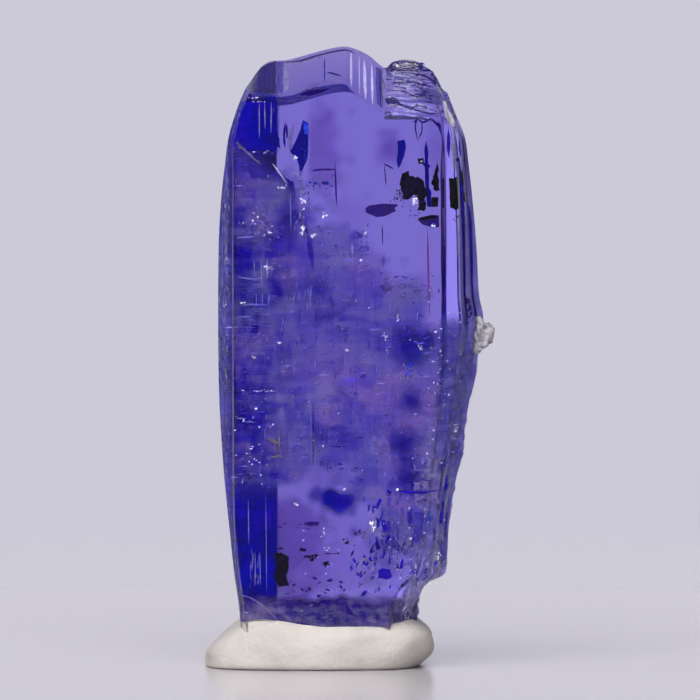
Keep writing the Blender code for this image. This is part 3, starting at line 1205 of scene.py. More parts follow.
@dataclass
class Haze:
    """The cloud of sheets, fine flakes, strokes and films through the crystal's middle."""

    form: CrystalForm
    zone: HazeZone
    flakes: int = 1000
    strokes: int = 320
    sparkles: int = 90
    films: int = 130
    veils: tuple[tuple[float, float, float, float], ...] = (
        (0.25, 0.0, 1.0, 0.34),
        (0.9, -4.0, 3.0, 0.20),
        (1.8, 4.0, 7.0, 0.18),
        (3.4, -3.0, 11.0, 0.22),
    )
    tints: tuple[Tint, ...] = (
        Tint((-3.9, 16.6), (0.3, 1.2), -0.45),
        Tint((-2.4, 15.7), (0.42, 0.5), -0.35),
        Tint((-0.7, 15.8), (0.42, 0.42), -0.3),
        Tint((-1.9, 18.6), (0.35, 1.2), -0.3),
        Tint((-1.6, 17.2), (1.0, 0.6), -0.2),
        Tint((3.2, 13.4), (0.9, 0.75), -0.3),
        Tint((3.05, 11.1), (0.5, 0.35), -0.22),
        Tint((2.85, 9.5), (0.75, 0.5), -0.25),
        Tint((2.9, 7.95), (0.6, 0.7), -0.25),
        Tint((0.3, 9.6), (0.8, 0.5), -0.2),
        Tint((-3.9, 11.9), (0.4, 1.0), -0.25),
        Tint((-3.3, 9.9), (0.7, 0.6), -0.2),
        Tint((-3.2, 19.6), (0.9, 0.7), 0.16),
        Tint((-3.1, 18.5), (0.9, 0.45), 0.08),
        Tint((-2.8, 16.6), (0.5, 0.3), 0.3),
        Tint((3.05, 12.3), (0.4, 0.5), 0.35),
        Tint((-3.4, 7.9), (0.7, 0.8), 0.2),
        Tint((0.4, 11.9), (1.8, 1.6), 0.2),
        Tint((1.2, 16.9), (1.2, 0.9), 0.16),
        Tint((-0.5, 8.8), (1.2, 0.5), 0.1),
        Tint((3.9, 7.9), (0.4, 0.7), 0.3),
        Tint((3.4, 4.2), (0.9, 1.3), 0.35),
        Tint((4.2, 11.0), (1.4, 3.6), 0.4),
        Tint((2.6, 15.6), (1.2, 0.7), 0.4),
    )

    def spot(self, chance: random.Random, near: float, far: float) -> Vector:
        """A random place in the cloudy zone.

        Args:
            chance: Where the random numbers come from.
            near: The smallest depth behind the front face.
            far: The greatest depth.

        Returns:
            The place.
        """
        while True:
            x, z = chance.uniform(-4.6, 5.7), chance.uniform(2.0, 22.0)
            cloud = 0.5 + 1.2 * noise.noise(Vector((x / 0.9, z / 0.7, 31.0)))
            if chance.random() > self.zone.share(x, z) * min(max(cloud, 0.1), 1.0):
                continue
            place = self.form.seen(x, z, chance.uniform(near, far))
            if self.inside(place):
                return place

    def inside(self, place: Vector, margin: float = 0.2) -> bool:
        """Whether a place is well inside the crystal."""
        left = along(self.form.left_edge, place.z) + margin
        right = along(self.form.right_edge, place.z) - margin
        if not left < place.x < right:
            return False
        return place.y < self.form.back_y(place.x, place.z) - margin

    def left_share(self, x: float, z: float) -> float:
        """How dense the haze is at the left, in front of the bevel behind."""
        return self.zone.share(x, z) * ramp(x, -1.3, -2.4)

    def scatter(self, name: str, dressing: Dressing, seed: int, specks: Sequence[float]) -> None:
        """Makes one piece of specks strewn through the zone, mostly level or upright.

        Args:
            name: The piece's name.
            dressing: Its finish.
            seed: Sets its chance.
            specks: How many there are, then their nearest and farthest depth, the middle of their length,
                their slimmest and broadest share and how far they tilt.
        """
        count, near, far, middle, slim, broad, tilt = specks
        pile = Pile(seed)
        chance = pile.chance
        for _ in range(int(count)):
            place = self.spot(chance, near, far)
            size = min(middle * chance.lognormvariate(0.0, 0.5), 1.3)
            turn = chance.gauss(0.0, 5.0) + (90.0 if chance.random() < 0.45 else 0.0)
            width = size * chance.uniform(slim, broad)
            roll, swing = chance.gauss(0.0, tilt), chance.gauss(0.0, 0.7 * tilt)
            pile.add(Speck(place, size, width, 0.012, turn, roll, swing))
        make_piece(pile.finish(), name, dressing.material(), None)

    def build(self) -> None:
        """Makes the veils, flakes, strokes, sparkles and films."""
        left = tuple((z, x + 0.3) for z, x in self.form.left_edge)
        right = tuple((z, x - 0.25) for z, x in self.form.right_edge)
        for index, (depth, swing, seed, strength) in enumerate(self.veils):
            finish = CloudFinish(
                f"veil_{index}", (0.03, 0.0, 0.95), (0.48, 0.46, 1.0), (0.62, 0.38, 1.0), strength
            )
            sheet = Sheet(f"veil_{index}", (2.1, 22.2), left, right, depth, swing, 0.3, seed)
            sheet.build(self.form, self.zone.share, self.tints, finish)
        finish = CloudFinish("left_veil", (0.02, 0.0, 0.95), (0.36, 0.42, 1.0), (0.34, 0.33, 1.0), 0.78)
        sheet = Sheet("left_veil", (7.0, 22.2), left, ((0.0, -1.2), (30.0, -1.2)), 0.8, seed=19.0)
        sheet.build(self.form, self.left_share, self.tints, finish)
        self.scatter("milky_flakes", MILK, 11, (self.flakes, 0.1, 2.6, 0.13, 0.2, 0.7, 30.0))
        self.scatter("pale_strokes", STROKE, 12, (self.strokes, 0.05, 1.0, 0.26, 0.08, 0.18, 15.0))
        # The sparkles are painted glints: white chips at the front surface and just under it.
        self.scatter("sparkles", GLINT, 14, (self.sparkles, -0.006, 0.06, 0.05, 0.4, 1.0, 15.0))
        self.scatter("air_films", AIR, 13, (self.films, 0.2, 3.0, 0.35, 0.2, 0.6, 60.0))


@dataclass
class Tinges:
    """The soft colourings outside the haze: violet tinges, the frosted bevel and sides, and the foot."""

    form: CrystalForm
    violet: tuple[Tint, ...] = (
        Tint((-0.55, 22.0), (0.75, 1.4), 1.0),
        Tint((-0.5, 20.6), (0.8, 0.9), 0.8),
        Tint((2.8, 15.6), (1.1, 0.6), 0.8),
        Tint((2.25, 21.6), (0.45, 0.7), 1.0),
        Tint((4.2, 21.6), (0.5, 1.2), 0.6),
        Tint((0.6, 18.9), (0.9, 0.7), 0.35),
        Tint((-1.7, 4.9), (1.3, 2.4), 1.3),
        Tint((0.5, 4.2), (1.4, 0.9), 0.5),
        Tint((0.4, 5.9), (2.0, 1.2), 0.25),
        Tint((-0.5, 8.0), (1.2, 0.6), 0.5),
    )

    blue: tuple[Tint, ...] = (
        Tint((0.1, 6.98), (0.75, 0.46), 0.72),
        Tint((-0.6, 7.25), (0.6, 0.25), 0.43),
        Tint((-3.9, 16.6), (0.3, 1.2), 0.22),
        Tint((-2.4, 15.7), (0.5, 0.55), 0.22),
        Tint((-0.7, 15.8), (0.5, 0.5), 0.17),
        Tint((-1.9, 18.9), (0.35, 1.3), 0.19),
        Tint((3.2, 13.45), (0.95, 0.75), 0.29),
        Tint((3.05, 11.15), (0.5, 0.4), 0.24),
        Tint((2.85, 9.5), (0.7, 0.6), 0.24),
        Tint((2.9, 7.95), (0.55, 0.65), 0.24),
        Tint((-3.9, 11.0), (0.35, 1.0), 0.19),
        Tint((-3.3, 9.9), (0.8, 0.6), 0.14),
        Tint((2.2, 5.0), (0.8, 1.2), 0.17),
        Tint((0.2, 14.6), (1.4, 0.5), 0.14),
        Tint((0.2, 9.7), (1.2, 0.5), 0.14),
        Tint((4.9, 12.6), (0.5, 0.9), 0.17),
    )

    def blue_cloud(self, x: float, z: float) -> float:
        """How strong the blue patches, the blue upright strip at the left and the blue steps are."""
        strip = ramp(x, -2.3, -2.5) * max(ramp(z, 21.2, 21.9), 0.58 * ramp(z, 7.8, 6.8))
        steps = ramp(x, 5.05, 5.22) * ramp(z, 13.8, 14.8) * ramp(z, 22.0, 20.8)
        patches = sum(tint.share(x, z) for tint in self.blue)
        return min(1.0, strip + 0.3 * steps + patches)

    def bevel_cloud(self, x: float, z: float) -> float:
        """How frosted the bevel left of the front face is."""
        patches = 0.5 + 0.9 * noise.noise(Vector((x / 0.5, z / 0.8, 17.0)))
        return 0.62 + 0.38 * min(max(patches, 0.0), 1.0)

    def violet_cloud(self, x: float, z: float) -> float:
        """How strong the violet tinge is, with its crisp left end by the wedge."""
        found = min(1.0, sum(tint.share(x, z) for tint in self.violet))
        crisp = ramp(x, -1.15, -1.0) if z > 20.3 else 1.0
        return found * crisp

    def side_cloud(self, x: float, z: float) -> float:
        """How cloudy the right-hand side strip is."""
        border = 14.5 + 0.4 * noise.noise(Vector((x / 0.3, 3.0, 0.0)))
        return ramp(z, border + 0.3, border - 0.3) * ramp(z, 3.9, 4.6) * ramp(x, 4.28, 4.42)

    def foot_cloud(self, x: float, z: float) -> float:
        """How cloudy the foot is."""
        border = 2.95 + 0.25 * noise.noise(Vector((x / 0.6, z / 0.6, 23.0)))
        return ramp(z, border + 0.25, border - 0.3)

    def build(self) -> None:
        """Makes the tinges."""
        form = self.form
        edge = tuple((z, x + 0.02) for z, x in form.left_edge)
        face = tuple((z, max(-4.22, x + 0.1)) for z, x in form.left_edge)
        inner = tuple((z, x + 0.3) for z, x in form.left_edge)
        outer = tuple((z, x - 0.04) for z, x in form.right_edge)
        level = ((0.0, 4.25), (30.0, 4.25))
        frost = CloudFinish("frosted_bevel", (0.02, 0.0, 0.66), (0.16, 0.13, 1.0), (0.12, 0.07, 0.85), 1.1)
        Sheet("frosted_bevel", (2.6, 24.2), edge, face, 0.06, wave=0.0, parts=(10, 170)).build(
            form, self.bevel_cloud, (Tint((-4.2, 23.4), (1.0, 1.6), -0.6),), frost
        )
        blue = CloudFinish("blue_clouds", (0.0, 0.0, 0.56), (0.0, 0.0, 0.85), (0.05, 0.0, 0.78), 1.8, 0.8)
        Sheet("blue_clouds", (3.1, 23.5), face, outer, 0.3, wave=0.1, seed=29.0, parts=(90, 180)).build(
            form, self.blue_cloud, (), blue
        )
        tinge = CloudFinish("violet_tinge", (0.26, 0.0, 0.80), (0.30, 0.02, 0.95), (0.42, 0.0, 0.8), 0.40, 0.4)
        Sheet("violet_tinge", (2.8, 23.8), inner, ((0.0, 4.4), (30.0, 4.4)), 1.6, seed=13.0).build(
            form, self.violet_cloud, (), tinge
        )
        side = CloudFinish("cloudy_side", (0.12, 0.10, 0.95), (0.34, 0.32, 1.0), (0.32, 0.24, 1.0), 0.6, 0.8)
        Sheet("cloudy_side", (3.8, 15.0), level, outer, 0.08, wave=0.02, parts=(16, 110)).build(
            form, self.side_cloud, (), side
        )
        foot = CloudFinish("cloudy_foot", (0.03, 0.0, 0.36), (0.20, 0.15, 0.56), (0.22, 0.15, 0.52), 1.2, 0.7)
        marks = (
            Tint((0.1, 2.45), (2.3, 0.5), -0.5),
            Tint((-3.2, 2.4), (0.8, 0.5), 0.55),
            Tint((2.9, 2.6), (0.9, 0.9), 0.6),
            Tint((0.3, 1.75), (2.6, 0.16), 0.3),
        )
        base = tuple((z, x + 0.04) for z, x in form.left_edge)
        Sheet("cloudy_foot", (1.5, 3.3), base, outer, 0.12, wave=0.05, parts=(90, 24)).build(
            form, self.foot_cloud, marks, foot
        )


@dataclass
class SealedGroup:
    """A group of things sealed in one part of the crystal."""

    form: CrystalForm

    def gather(self, name: str, dressing: Dressing, seed: int, parts: Sequence[Inclusion]) -> None:
        """Makes one piece of the inclusions that share a finish.

        Args:
            name: The piece's name.
            dressing: Its finish.
            seed: Sets its chance.
            parts: The inclusions.
        """
        pile = Pile(seed)
        for part in parts:
            part.add_to(pile, self.form)
        make_piece(pile.finish(), name, dressing.material(), None)


@dataclass
class SideMarks(SealedGroup):
    """The upright stripes along the stepped right side and in the blue corner at the upper left, and painted
    highlights along the front face's left ridge.
    """

    ink: tuple[Inclusion, ...] = (
        Ribbon(((-2.5, 23.5), (-2.5, 21.9)), 0.05, 0.2),
        Ribbon(((-2.78, 23.5), (-2.76, 22.2)), 0.06, 0.2),
        Ribbon(((-3.01, 23.5), (-3.0, 21.9)), 0.08, 0.2),
        Blot(
            ((-2.97, 22.2), (-2.4, 22.28), (-2.3, 22.0), (-2.25, 21.55), (-2.5, 21.75), (-2.95, 21.82)),
            0.2
        ),
        Ribbon(((-2.05, 22.7), (-2.1, 22.1), (-2.05, 21.6)), 0.09, 0.2),
        Ribbon(((-2.58, 7.2), (-2.56, 5.2), (-2.54, 3.5)), 0.12, 0.2),
        Ribbon(((-3.0, 7.2), (-2.98, 5.2), (-2.96, 3.4)), 0.07, 0.2),
    )
    dusk: tuple[Inclusion, ...] = (
        Ribbon(((4.44, 22.3), (4.46, 19.0), (4.46, 14.7)), 0.18, 0.06, ragged=0.1),
        Ribbon(((5.27, 22.0), (5.36, 21.0), (5.42, 20.0)), 0.07, 0.05, ragged=0.1),
        Ribbon(((5.36, 19.2), (5.38, 17.0), (5.40, 14.7)), 0.05, 0.06, ragged=0.1),
    )
    deep: tuple[Inclusion, ...] = (
        Ribbon(((5.12, 21.2), (5.24, 19.0), (5.27, 14.7)), 0.22, 0.08, ragged=0.1),
        Ribbon(((5.44, 19.6), (5.60, 18.0), (5.66, 14.7)), 0.18, 0.08, ragged=0.1),
        Ribbon(((5.15, 22.3), (5.2, 21.2)), 0.12, 0.06),
        Ribbon(((4.68, 22.4), (4.7, 21.2)), 0.14, 0.06),
    )
    pale: tuple[Inclusion, ...] = (
        Ribbon(((-3.12, 23.5), (-3.12, 22.0)), 0.04, 0.15),
        Ribbon(((-2.9, 23.5), (-2.88, 22.4)), 0.04, 0.15),
        Ribbon(((-2.62, 23.5), (-2.64, 22.2)), 0.05, 0.15),
        Ribbon(((-3.58, 7.1), (-3.56, 5.2)), 0.03, 0.15),
        Ribbon(((-3.1, 4.9), (-3.08, 3.5)), 0.03, 0.15),
        Ribbon(((-3.3, 4.9), (-3.28, 3.5)), 0.025, 0.15),
        Ribbon(((-2.86, 7.3), (-2.84, 5.2), (-2.82, 3.3)), 0.025, 0.15),
        Ribbon(((5.12, 21.0), (5.14, 19.4), (5.12, 14.8)), 0.05, 0.02),
    )
    # Painted highlights: a pale line along the front face's worn left ridge and glint specks on the bevel
    # beside it.
    rim: tuple[Inclusion, ...] = (
        Ribbon(
            ((-4.2, 21.3), (-4.21, 17.0), (-4.2, 12.0), (-4.17, 7.0), (-4.08, 3.4)),
            0.045, 0.02, ragged=0.5
        ),
        Swarm((-4.42, 16.2), (0.14, 5.4), 34, (0.1, 0.35), (0.02, 0.04), (0.2, 0.5), 90.0, 12.0),
    )

    def build(self) -> None:
        """Makes the stripes."""
        self.gather("ink_blue_stripes", INK, 61, self.ink)
        self.gather("dusky_stripes", DUSK, 64, self.dusk)
        self.gather("deep_blue_stripes", DEEP, 62, self.deep)
        self.gather("pale_stripes", STROKE, 63, self.pale)
        self.gather("left_edge_highlights", EDGE_HIGHLIGHT, 65, self.rim)


@dataclass
class TopMarks(SealedGroup):
    """The lines, stripes and dark corners of the crystal's end."""

    ink: tuple[Inclusion, ...] = (
        Blot(((-2.92, 23.76), (-2.42, 23.74), (-2.46, 23.56), (-2.86, 23.54)), 0.1),
        Ribbon(((-0.42, 25.33), (-0.42, 24.25)), 0.05, 0.1),
        Ribbon(((1.83, 24.85), (1.88, 23.25)), 0.05, 0.15),
    )
    deep: tuple[Inclusion, ...] = (
        Ribbon(((-3.22, 24.7), (-3.24, 23.95)), 0.03, 0.1),
        Ribbon(((-2.98, 24.9), (-3.0, 23.9)), 0.04, 0.1),
        Ribbon(((-2.78, 25.0), (-2.8, 23.9)), 0.025, 0.1),
        Ribbon(((-2.6, 25.05), (-2.62, 23.85)), 0.04, 0.1),
    )
    shade: tuple[Inclusion, ...] = (
        Blot(((-2.42, 25.08), (-2.14, 25.1), (-2.14, 23.85), (-2.42, 23.82)), 0.12, 0.03),
        Blot(((1.66, 24.9), (1.96, 24.8), (1.98, 23.2), (1.7, 23.4)), 0.15, 0.03),
        Blot(((2.5, 24.6), (3.1, 24.6), (3.0, 24.0), (2.4, 24.05)), 0.22),
        Blot(((3.3, 24.1), (4.2, 23.9), (4.3, 23.3), (3.2, 23.5)), 0.22),
    )
    gloom: tuple[Inclusion, ...] = (
        Blot(
            ((-3.58, 23.88), (-3.52, 24.2), (-3.21, 24.72), (-2.8, 25.0), (-2.44, 25.08), (-2.44, 23.8)),
            0.16
        ),
        Swarm((3.0, 24.95), (0.6, 0.15), 14, (0.1, 0.35), (0.05, 0.2), (0.2, 0.5), 0.0, 20.0),
        Swarm((3.4, 23.9), (0.8, 0.7), 26, (0.1, 0.5), (0.05, 0.2), (0.06, 0.2), 0.0, 12.0),
        Swarm((3.9, 24.2), (0.4, 0.6), 16, (0.1, 0.4), (0.05, 0.2), (0.1, 0.3), -50.0, 20.0),
        Blot(
            (
                (2.25, 24.95), (2.54, 25.08), (3.04, 25.13), (3.46, 25.05),
                (3.66, 24.88), (3.4, 24.7), (2.71, 24.72), (2.33, 24.7),
            ),
            0.12,
        ),
        Ribbon(((2.3, 24.25), (3.1, 24.3), (4.0, 24.1)), 0.07, 0.1),
        Ribbon(((2.17, 23.92), (2.71, 23.96), (3.21, 23.75), (3.75, 23.79), (4.3, 23.67)), 0.08, 0.06),
        Ribbon(
            ((2.12, 23.54), (2.42, 23.62), (2.71, 23.38), (3.12, 23.25), (3.54, 23.33), (4.3, 23.04)),
            0.08, 0.06
        ),
        Ribbon(((2.5, 24.7), (3.3, 24.62), (3.9, 24.45), (4.3, 24.0)), 0.07, 0.08),
        Swarm((3.2, 24.1), (0.9, 0.5), 14, (0.15, 0.5), (0.05, 0.3), (0.1, 0.25), 0.0, 10.0),
        Blot(
            ((-1.5, 23.76), (-1.12, 23.94), (-0.71, 24.02), (-0.25, 24.04), (-0.54, 23.88),
            (-1.04, 23.75)), 0.15
        ),
        Ribbon(((-2.17, 25.1), (-1.46, 25.18), (-0.62, 25.42), (0.38, 25.62), (0.83, 25.48)), 0.05, 0.06),
        Ribbon(((-0.33, 24.71), (0.0, 24.62), (0.29, 24.54)), 0.06, 0.1),
        Ribbon(((3.0, 23.21), (3.46, 23.12), (3.88, 23.0), (4.25, 23.0)), 0.07, 0.1),
        Ribbon(((3.33, 22.92), (3.62, 22.67), (3.96, 22.79), (4.25, 22.54), (4.5, 22.5)), 0.06, 0.08),
        Ribbon(((3.46, 22.92), (3.32, 22.5), (3.42, 21.92)), 0.05, 0.08),
        Ribbon(((3.55, 22.85), (3.6, 22.35), (3.44, 21.95)), 0.05, 0.08),
        Blot(((2.08, 23.62), (2.38, 23.67), (2.71, 23.38), (2.46, 23.25), (2.17, 23.38)), 0.1),
        Swarm((3.7, 23.2), (0.6, 0.5), 20, (0.1, 0.35), (0.05, 0.3), (0.12, 0.3), 0.0, 35.0),
        Ribbon(((2.25, 23.06), (2.38, 22.83)), 0.09, 0.15),
    )
    pale: tuple[Inclusion, ...] = (
        Blot(((-2.12, 25.08), (-1.9, 25.12), (-1.9, 23.9), (-2.1, 23.85)), 0.2, 0.03),
        Ribbon(((-2.1, 24.9), (-1.2, 25.1), (-0.5, 25.3)), 0.12, 0.3),
        Swarm((2.9, 24.35), (0.6, 0.3), 16, (0.1, 0.3), (0.05, 0.2), (0.2, 0.5), 0.0, 8.0),
    )
    sheen: tuple[Inclusion, ...] = (
        Ribbon(((0.67, 25.55), (0.68, 24.1)), 0.09, -0.004, 0.004),
        Ribbon(((1.0, 25.4), (1.02, 23.8)), 0.04, -0.004, 0.004),
        Ribbon(((1.21, 25.2), (1.27, 23.55)), 0.12, -0.004, 0.004),
        Ribbon(((1.52, 25.05), (1.56, 23.4)), 0.09, -0.004, 0.004),
        Ribbon(((4.85, 21.9), (4.88, 21.3), (4.9, 20.6)), 0.1, -0.004, 0.004),
    )
    glint: tuple[Inclusion, ...] = (
        Swarm((-3.33, 23.68), (0.3, 0.03), 8, (0.05, 0.11), SKIN),
        Swarm((-3.2, 23.51), (0.3, 0.03), 5, (0.04, 0.09), SKIN),
        Swarm((2.54, 25.0), (0.05, 0.04), 4, (0.06, 0.12), SKIN),
        Swarm((2.95, 25.08), (0.15, 0.04), 6, (0.05, 0.12), SKIN),
        # A painted highlight: the white sliver of light on the top's right corner, laid just outside the
        # surface.
        Blot(
            ((4.45, 23.55), (4.6, 23.5), (4.66, 23.2), (4.8, 23.05), (4.95, 22.7), (4.95, 22.45),
            (4.78, 22.5), (4.56, 22.9)),
            -0.02, 0.03,
        ),
        Ribbon(((4.2, 24.2), (4.5, 23.7)), 0.05, 0.0),
    )
    olive: tuple[Inclusion, ...] = (
        Ribbon(((1.95, 24.5), (2.04, 24.2), (1.98, 23.88), (2.06, 23.3)), 0.07, 0.05, ragged=0.5),
    )

    def build(self) -> None:
        """Makes the marks of the crystal's end."""
        self.gather("top_ink_lines", INK, 21, self.ink)
        self.gather("top_deep_lines", DEEP, 26, self.deep)
        self.gather("top_shades", SHADE, 27, self.shade)
        self.gather("top_sheen", SHEEN, 28, self.sheen)
        self.gather("top_gloomy_lines", GLOOM, 22, self.gloom)
        self.gather("top_pale_stripes", PALE, 23, self.pale)
        self.gather("top_glints", GLINT, 24, self.glint)
        self.gather("top_iron_stains", OLIVE, 25, self.olive)


@dataclass
class UpperMarks(SealedGroup):
    """What is sealed in the clear window below the crystal's end, with painted reflections of its graphite in
    the right side's faces.
    """

    coal: tuple[Inclusion, ...] = (
        Blot(
            (
                (3.0, 20.67), (3.05, 20.46), (3.29, 20.42), (3.47, 20.42), (3.65, 20.28), (3.72, 20.06),
                (3.77, 19.78), (3.75, 19.49), (3.77, 19.2), (3.65, 19.0), (3.39, 19.04), (3.47, 19.24),
                (3.43, 19.49), (3.25, 19.7), (3.14, 19.52), (2.93, 19.49), (2.82, 19.7), (2.71, 19.99),
                (2.71, 20.39), (2.86, 20.6),
            ),
            0.9, ragged=0.08,
        ),
        Blot(
            ((4.24, 21.1), (4.29, 20.57), (4.31, 19.85), (4.08, 19.85), (4.0, 20.21), (4.11, 20.64)),
            0.9, ragged=0.06
        ),
        Blot(((4.0, 19.56), (4.29, 19.56), (4.26, 19.17), (3.97, 19.17)), 0.9),
        # Painted reflections: these dark patches by the right side stand for the graphite cluster seen again in
        # the striated faces.
        Blot(
            ((4.72, 20.35), (4.9, 20.31), (5.04, 20.39), (5.19, 19.99), (5.22, 19.17), (5.0, 18.99),
            (4.75, 19.13)), 0.05
        ),
        Blot(((5.3, 20.78), (5.4, 20.64), (5.42, 20.06), (5.26, 19.99), (5.2, 20.39)), 0.05),
        Blot(((5.4, 19.99), (5.5, 19.7), (5.52, 19.27), (5.33, 19.31), (5.34, 19.7)), 0.05),
        Swarm((2.8, 19.6), (0.35, 0.25), 34, (0.04, 0.16), (0.6, 1.2), (0.3, 1.0), 0.0, 60.0),
        Swarm((5.0, 18.75), (0.3, 0.25), 16, (0.05, 0.2), (0.15, 0.4), (0.3, 1.0), 0.0, 60.0),
        Swarm((5.05, 21.08), (0.02, 0.02), 4, (0.16, 0.22), (0.1, 0.2), (0.9, 1.0)),
        Swarm((3.58, 21.06), (0.03, 0.03), 5, (0.22, 0.27), (0.5, 0.7), (0.9, 1.0), 0.0, 60.0, 5.0),
        Blot(
            ((3.41, 18.66), (3.5, 18.72), (4.0, 18.84), (4.31, 18.81), (4.29, 18.75), (4.0, 18.70),
            (3.65, 18.62)), 0.6, 0.04, 0.015
        ),
    )
    dusk: tuple[Inclusion, ...] = (
        Blot(
            (
                (1.26, 19.13), (1.42, 19.24), (1.92, 19.31), (2.57, 19.29), (2.6, 19.22), (2.46, 19.13),
                (2.53, 19.02), (2.28, 18.88), (2.07, 18.79), (1.74, 18.75), (1.49, 18.84), (1.28, 18.95),
            ),
            1.4, 0.12, 0.015,
        ),
        Blot(
            ((3.41, 18.63), (3.5, 18.70), (4.31, 18.75), (4.31, 18.34), (4.0, 18.32), (3.65, 18.43)),
            0.8, 0.1, 0.015
        ),
        Ribbon(((-0.96, 20.68), (-0.6, 20.72), (0.04, 20.73)), 0.07, 0.7),
        Ribbon(((0.0, 21.08), (0.04, 20.0), (0.08, 19.21)), 0.07, 0.7),
        Ribbon(((2.04, 20.96), (2.12, 20.04)), 0.045, 0.6),
        Ribbon(((2.04, 20.96), (2.42, 20.75)), 0.06, 0.6),
        Ribbon(((1.95, 18.45), (1.98, 17.6)), 0.05, 0.6),
        Ribbon(((-2.0, 22.62), (-1.98, 22.0)), 0.1, 0.5),
        Ribbon(((-3.0, 21.8), (-2.95, 22.9)), 0.07, 0.4),
        Swarm((0.9, 17.6), (0.5, 0.8), 26, (0.08, 0.3), (0.3, 1.2), (0.15, 0.35), 90.0, 25.0),
        Swarm((-0.6, 20.0), (0.5, 0.6), 18, (0.08, 0.3), (0.3, 1.2), (0.15, 0.3), 90.0, 50.0),
        Swarm((3.2, 19.3), (0.9, 0.5), 22, (0.05, 0.2), (0.3, 1.2), (0.15, 0.5), 0.0, 60.0),
    )
    deep: tuple[Inclusion, ...] = (
        Blot(
            (
                (-1.33, 22.75), (-1.1, 22.65), (-1.1, 21.6), (-1.14, 21.1), (-1.3, 20.8), (-1.43, 20.42),
                (-1.5, 20.95), (-1.6, 21.2), (-1.85, 21.45), (-1.62, 21.9), (-1.45, 22.3),
            ),
            0.8, 0.06, 0.02,
        ),
        Blot(
            (
                (2.57, 21.89), (2.89, 21.96), (2.95, 21.64), (2.86, 21.28), (2.71, 20.92), (2.6, 20.74),
                (2.57, 21.1), (2.6, 21.57),
            ),
            1.2, 0.06, 0.02,
        ),
        Blot(
            ((3.77, 20.10), (3.9, 19.99), (4.0, 19.78), (4.0, 19.17), (3.82, 19.17), (3.77, 19.7)),
            1.1, 0.04
        ),
        Ribbon(((3.77, 21.9), (3.8, 21.0), (3.85, 19.2)), 0.16, 1.1),
        Ribbon(((3.6, 21.0), (3.8, 20.9), (3.95, 20.85)), 0.12, 1.0),
        Ribbon(
            ((-1.81, 20.15), (-1.87, 19.77), (-1.87, 19.13), (-1.52, 18.88), (-1.27, 18.49),
            (-1.11, 18.01)), 0.3, 0.8
        ),
        Ribbon(((-1.11, 18.01), (-1.0, 17.4), (-0.9, 16.6)), 0.22, 0.8),
        Blot(
            ((-2.5, 20.6), (-2.1, 20.4), (-1.7, 20.2), (-1.6, 19.6), (-1.9, 19.3), (-2.0, 19.9),
            (-2.3, 20.2)), 1.0
        ),
    )
    royal: tuple[Inclusion, ...] = (
        Blot(((-1.3, 22.7), (-1.12, 22.6), (-1.12, 22.15), (-1.28, 22.2)), 0.6, 0.04),
        Swarm((-1.3, 21.4), (0.12, 0.4), 8, (0.08, 0.25), (0.5, 0.75), (0.3, 0.6), 90.0, 15.0),
        Swarm((4.0, 18.42), (0.2, 0.06), 6, (0.1, 0.2), (0.4, 0.6)),
        Swarm((-0.2, 20.1), (0.15, 0.2), 5, (0.1, 0.2), (0.4, 0.8)),
        Swarm((5.2, 18.7), (0.15, 0.2), 6, (0.08, 0.2), (0.1, 0.3)),
        Swarm((-1.0, 20.1), (0.2, 0.2), 6, (0.1, 0.2), (0.3, 0.6)),
    )
    glint: tuple[Inclusion, ...] = (
        Swarm((-1.62, 21.22), (0.06, 0.12), 7, (0.09, 0.2), SKIN, (0.4, 0.8), 70.0, 20.0),
        Swarm((3.3, 19.4), (0.14, 0.22), 14, (0.06, 0.18), SKIN, (0.3, 0.8), 60.0, 30.0),
        Swarm((3.56, 21.05), (0.02, 0.02), 3, (0.08, 0.11), SKIN),
        Swarm((4.02, 18.40), (0.16, 0.03), 4, (0.06, 0.12), SKIN),
        Swarm((1.25, 18.08), (0.04, 0.05), 4, (0.08, 0.16), SKIN),
        Swarm((1.05, 16.92), (0.04, 0.05), 3, (0.06, 0.1), SKIN),
        Ribbon(((-2.56, 20.95), (-2.3, 20.6), (-1.98, 20.15)), 0.035, 0.0),
        Swarm((-3.4, 21.42), (0.15, 0.05), 5, (0.06, 0.14), SKIN, (0.2, 0.4), 0.0, 15.0),
        Swarm((-2.75, 21.4), (0.2, 0.1), 6, (0.06, 0.14), SKIN, (0.2, 0.4), 10.0, 15.0),
        Swarm((-2.2, 19.95), (0.2, 0.12), 9, (0.06, 0.16), SKIN, (0.3, 0.6), -30.0, 25.0),
        Swarm((-1.33, 19.3), (0.14, 0.25), 10, (0.06, 0.15), SKIN, (0.3, 0.6), 30.0, 35.0),
        Swarm((-1.35, 18.1), (0.08, 0.25), 8, (0.08, 0.25), SKIN, (0.3, 0.5), 70.0, 20.0),
        Swarm((-0.9, 18.0), (0.14, 0.12), 6, (0.08, 0.22), SKIN, (0.3, 0.5), -45.0, 20.0),
        Swarm((-0.4, 18.85), (0.12, 0.16), 5, (0.08, 0.22), SKIN, (0.3, 0.5), 50.0, 20.0),
    )
    pale: tuple[Inclusion, ...] = (
        Ribbon(((-4.08, 21.85), (-3.75, 21.55), (-3.5, 21.3), (-3.05, 20.92)), 0.07, 0.04),
        Ribbon(((-1.7, 22.6), (-1.85, 21.9), (-1.75, 21.3)), 0.16, 0.9),
        Ribbon(((4.85, 21.9), (4.9, 21.3), (4.95, 20.6)), 0.16, 0.1),
        Swarm((-2.6, 22.7), (0.12, 0.7), 12, (0.2, 0.6), (0.2, 0.6), (0.08, 0.15), 90.0, 4.0),
    )
    olive: tuple[Inclusion, ...] = (
        Ribbon(((-4.02, 21.85), (-3.9, 21.62), (-3.75, 21.6)), 0.08, 0.03, ragged=0.5),
        Ribbon(((-3.5, 21.28), (-3.25, 21.1), (-3.05, 20.93)), 0.04, 0.03),
    )
    rust: tuple[Inclusion, ...] = (Ribbon(((3.83, 18.29), (3.86, 16.5), (3.92, 14.6)), 0.08, 0.8, ragged=0.05),)

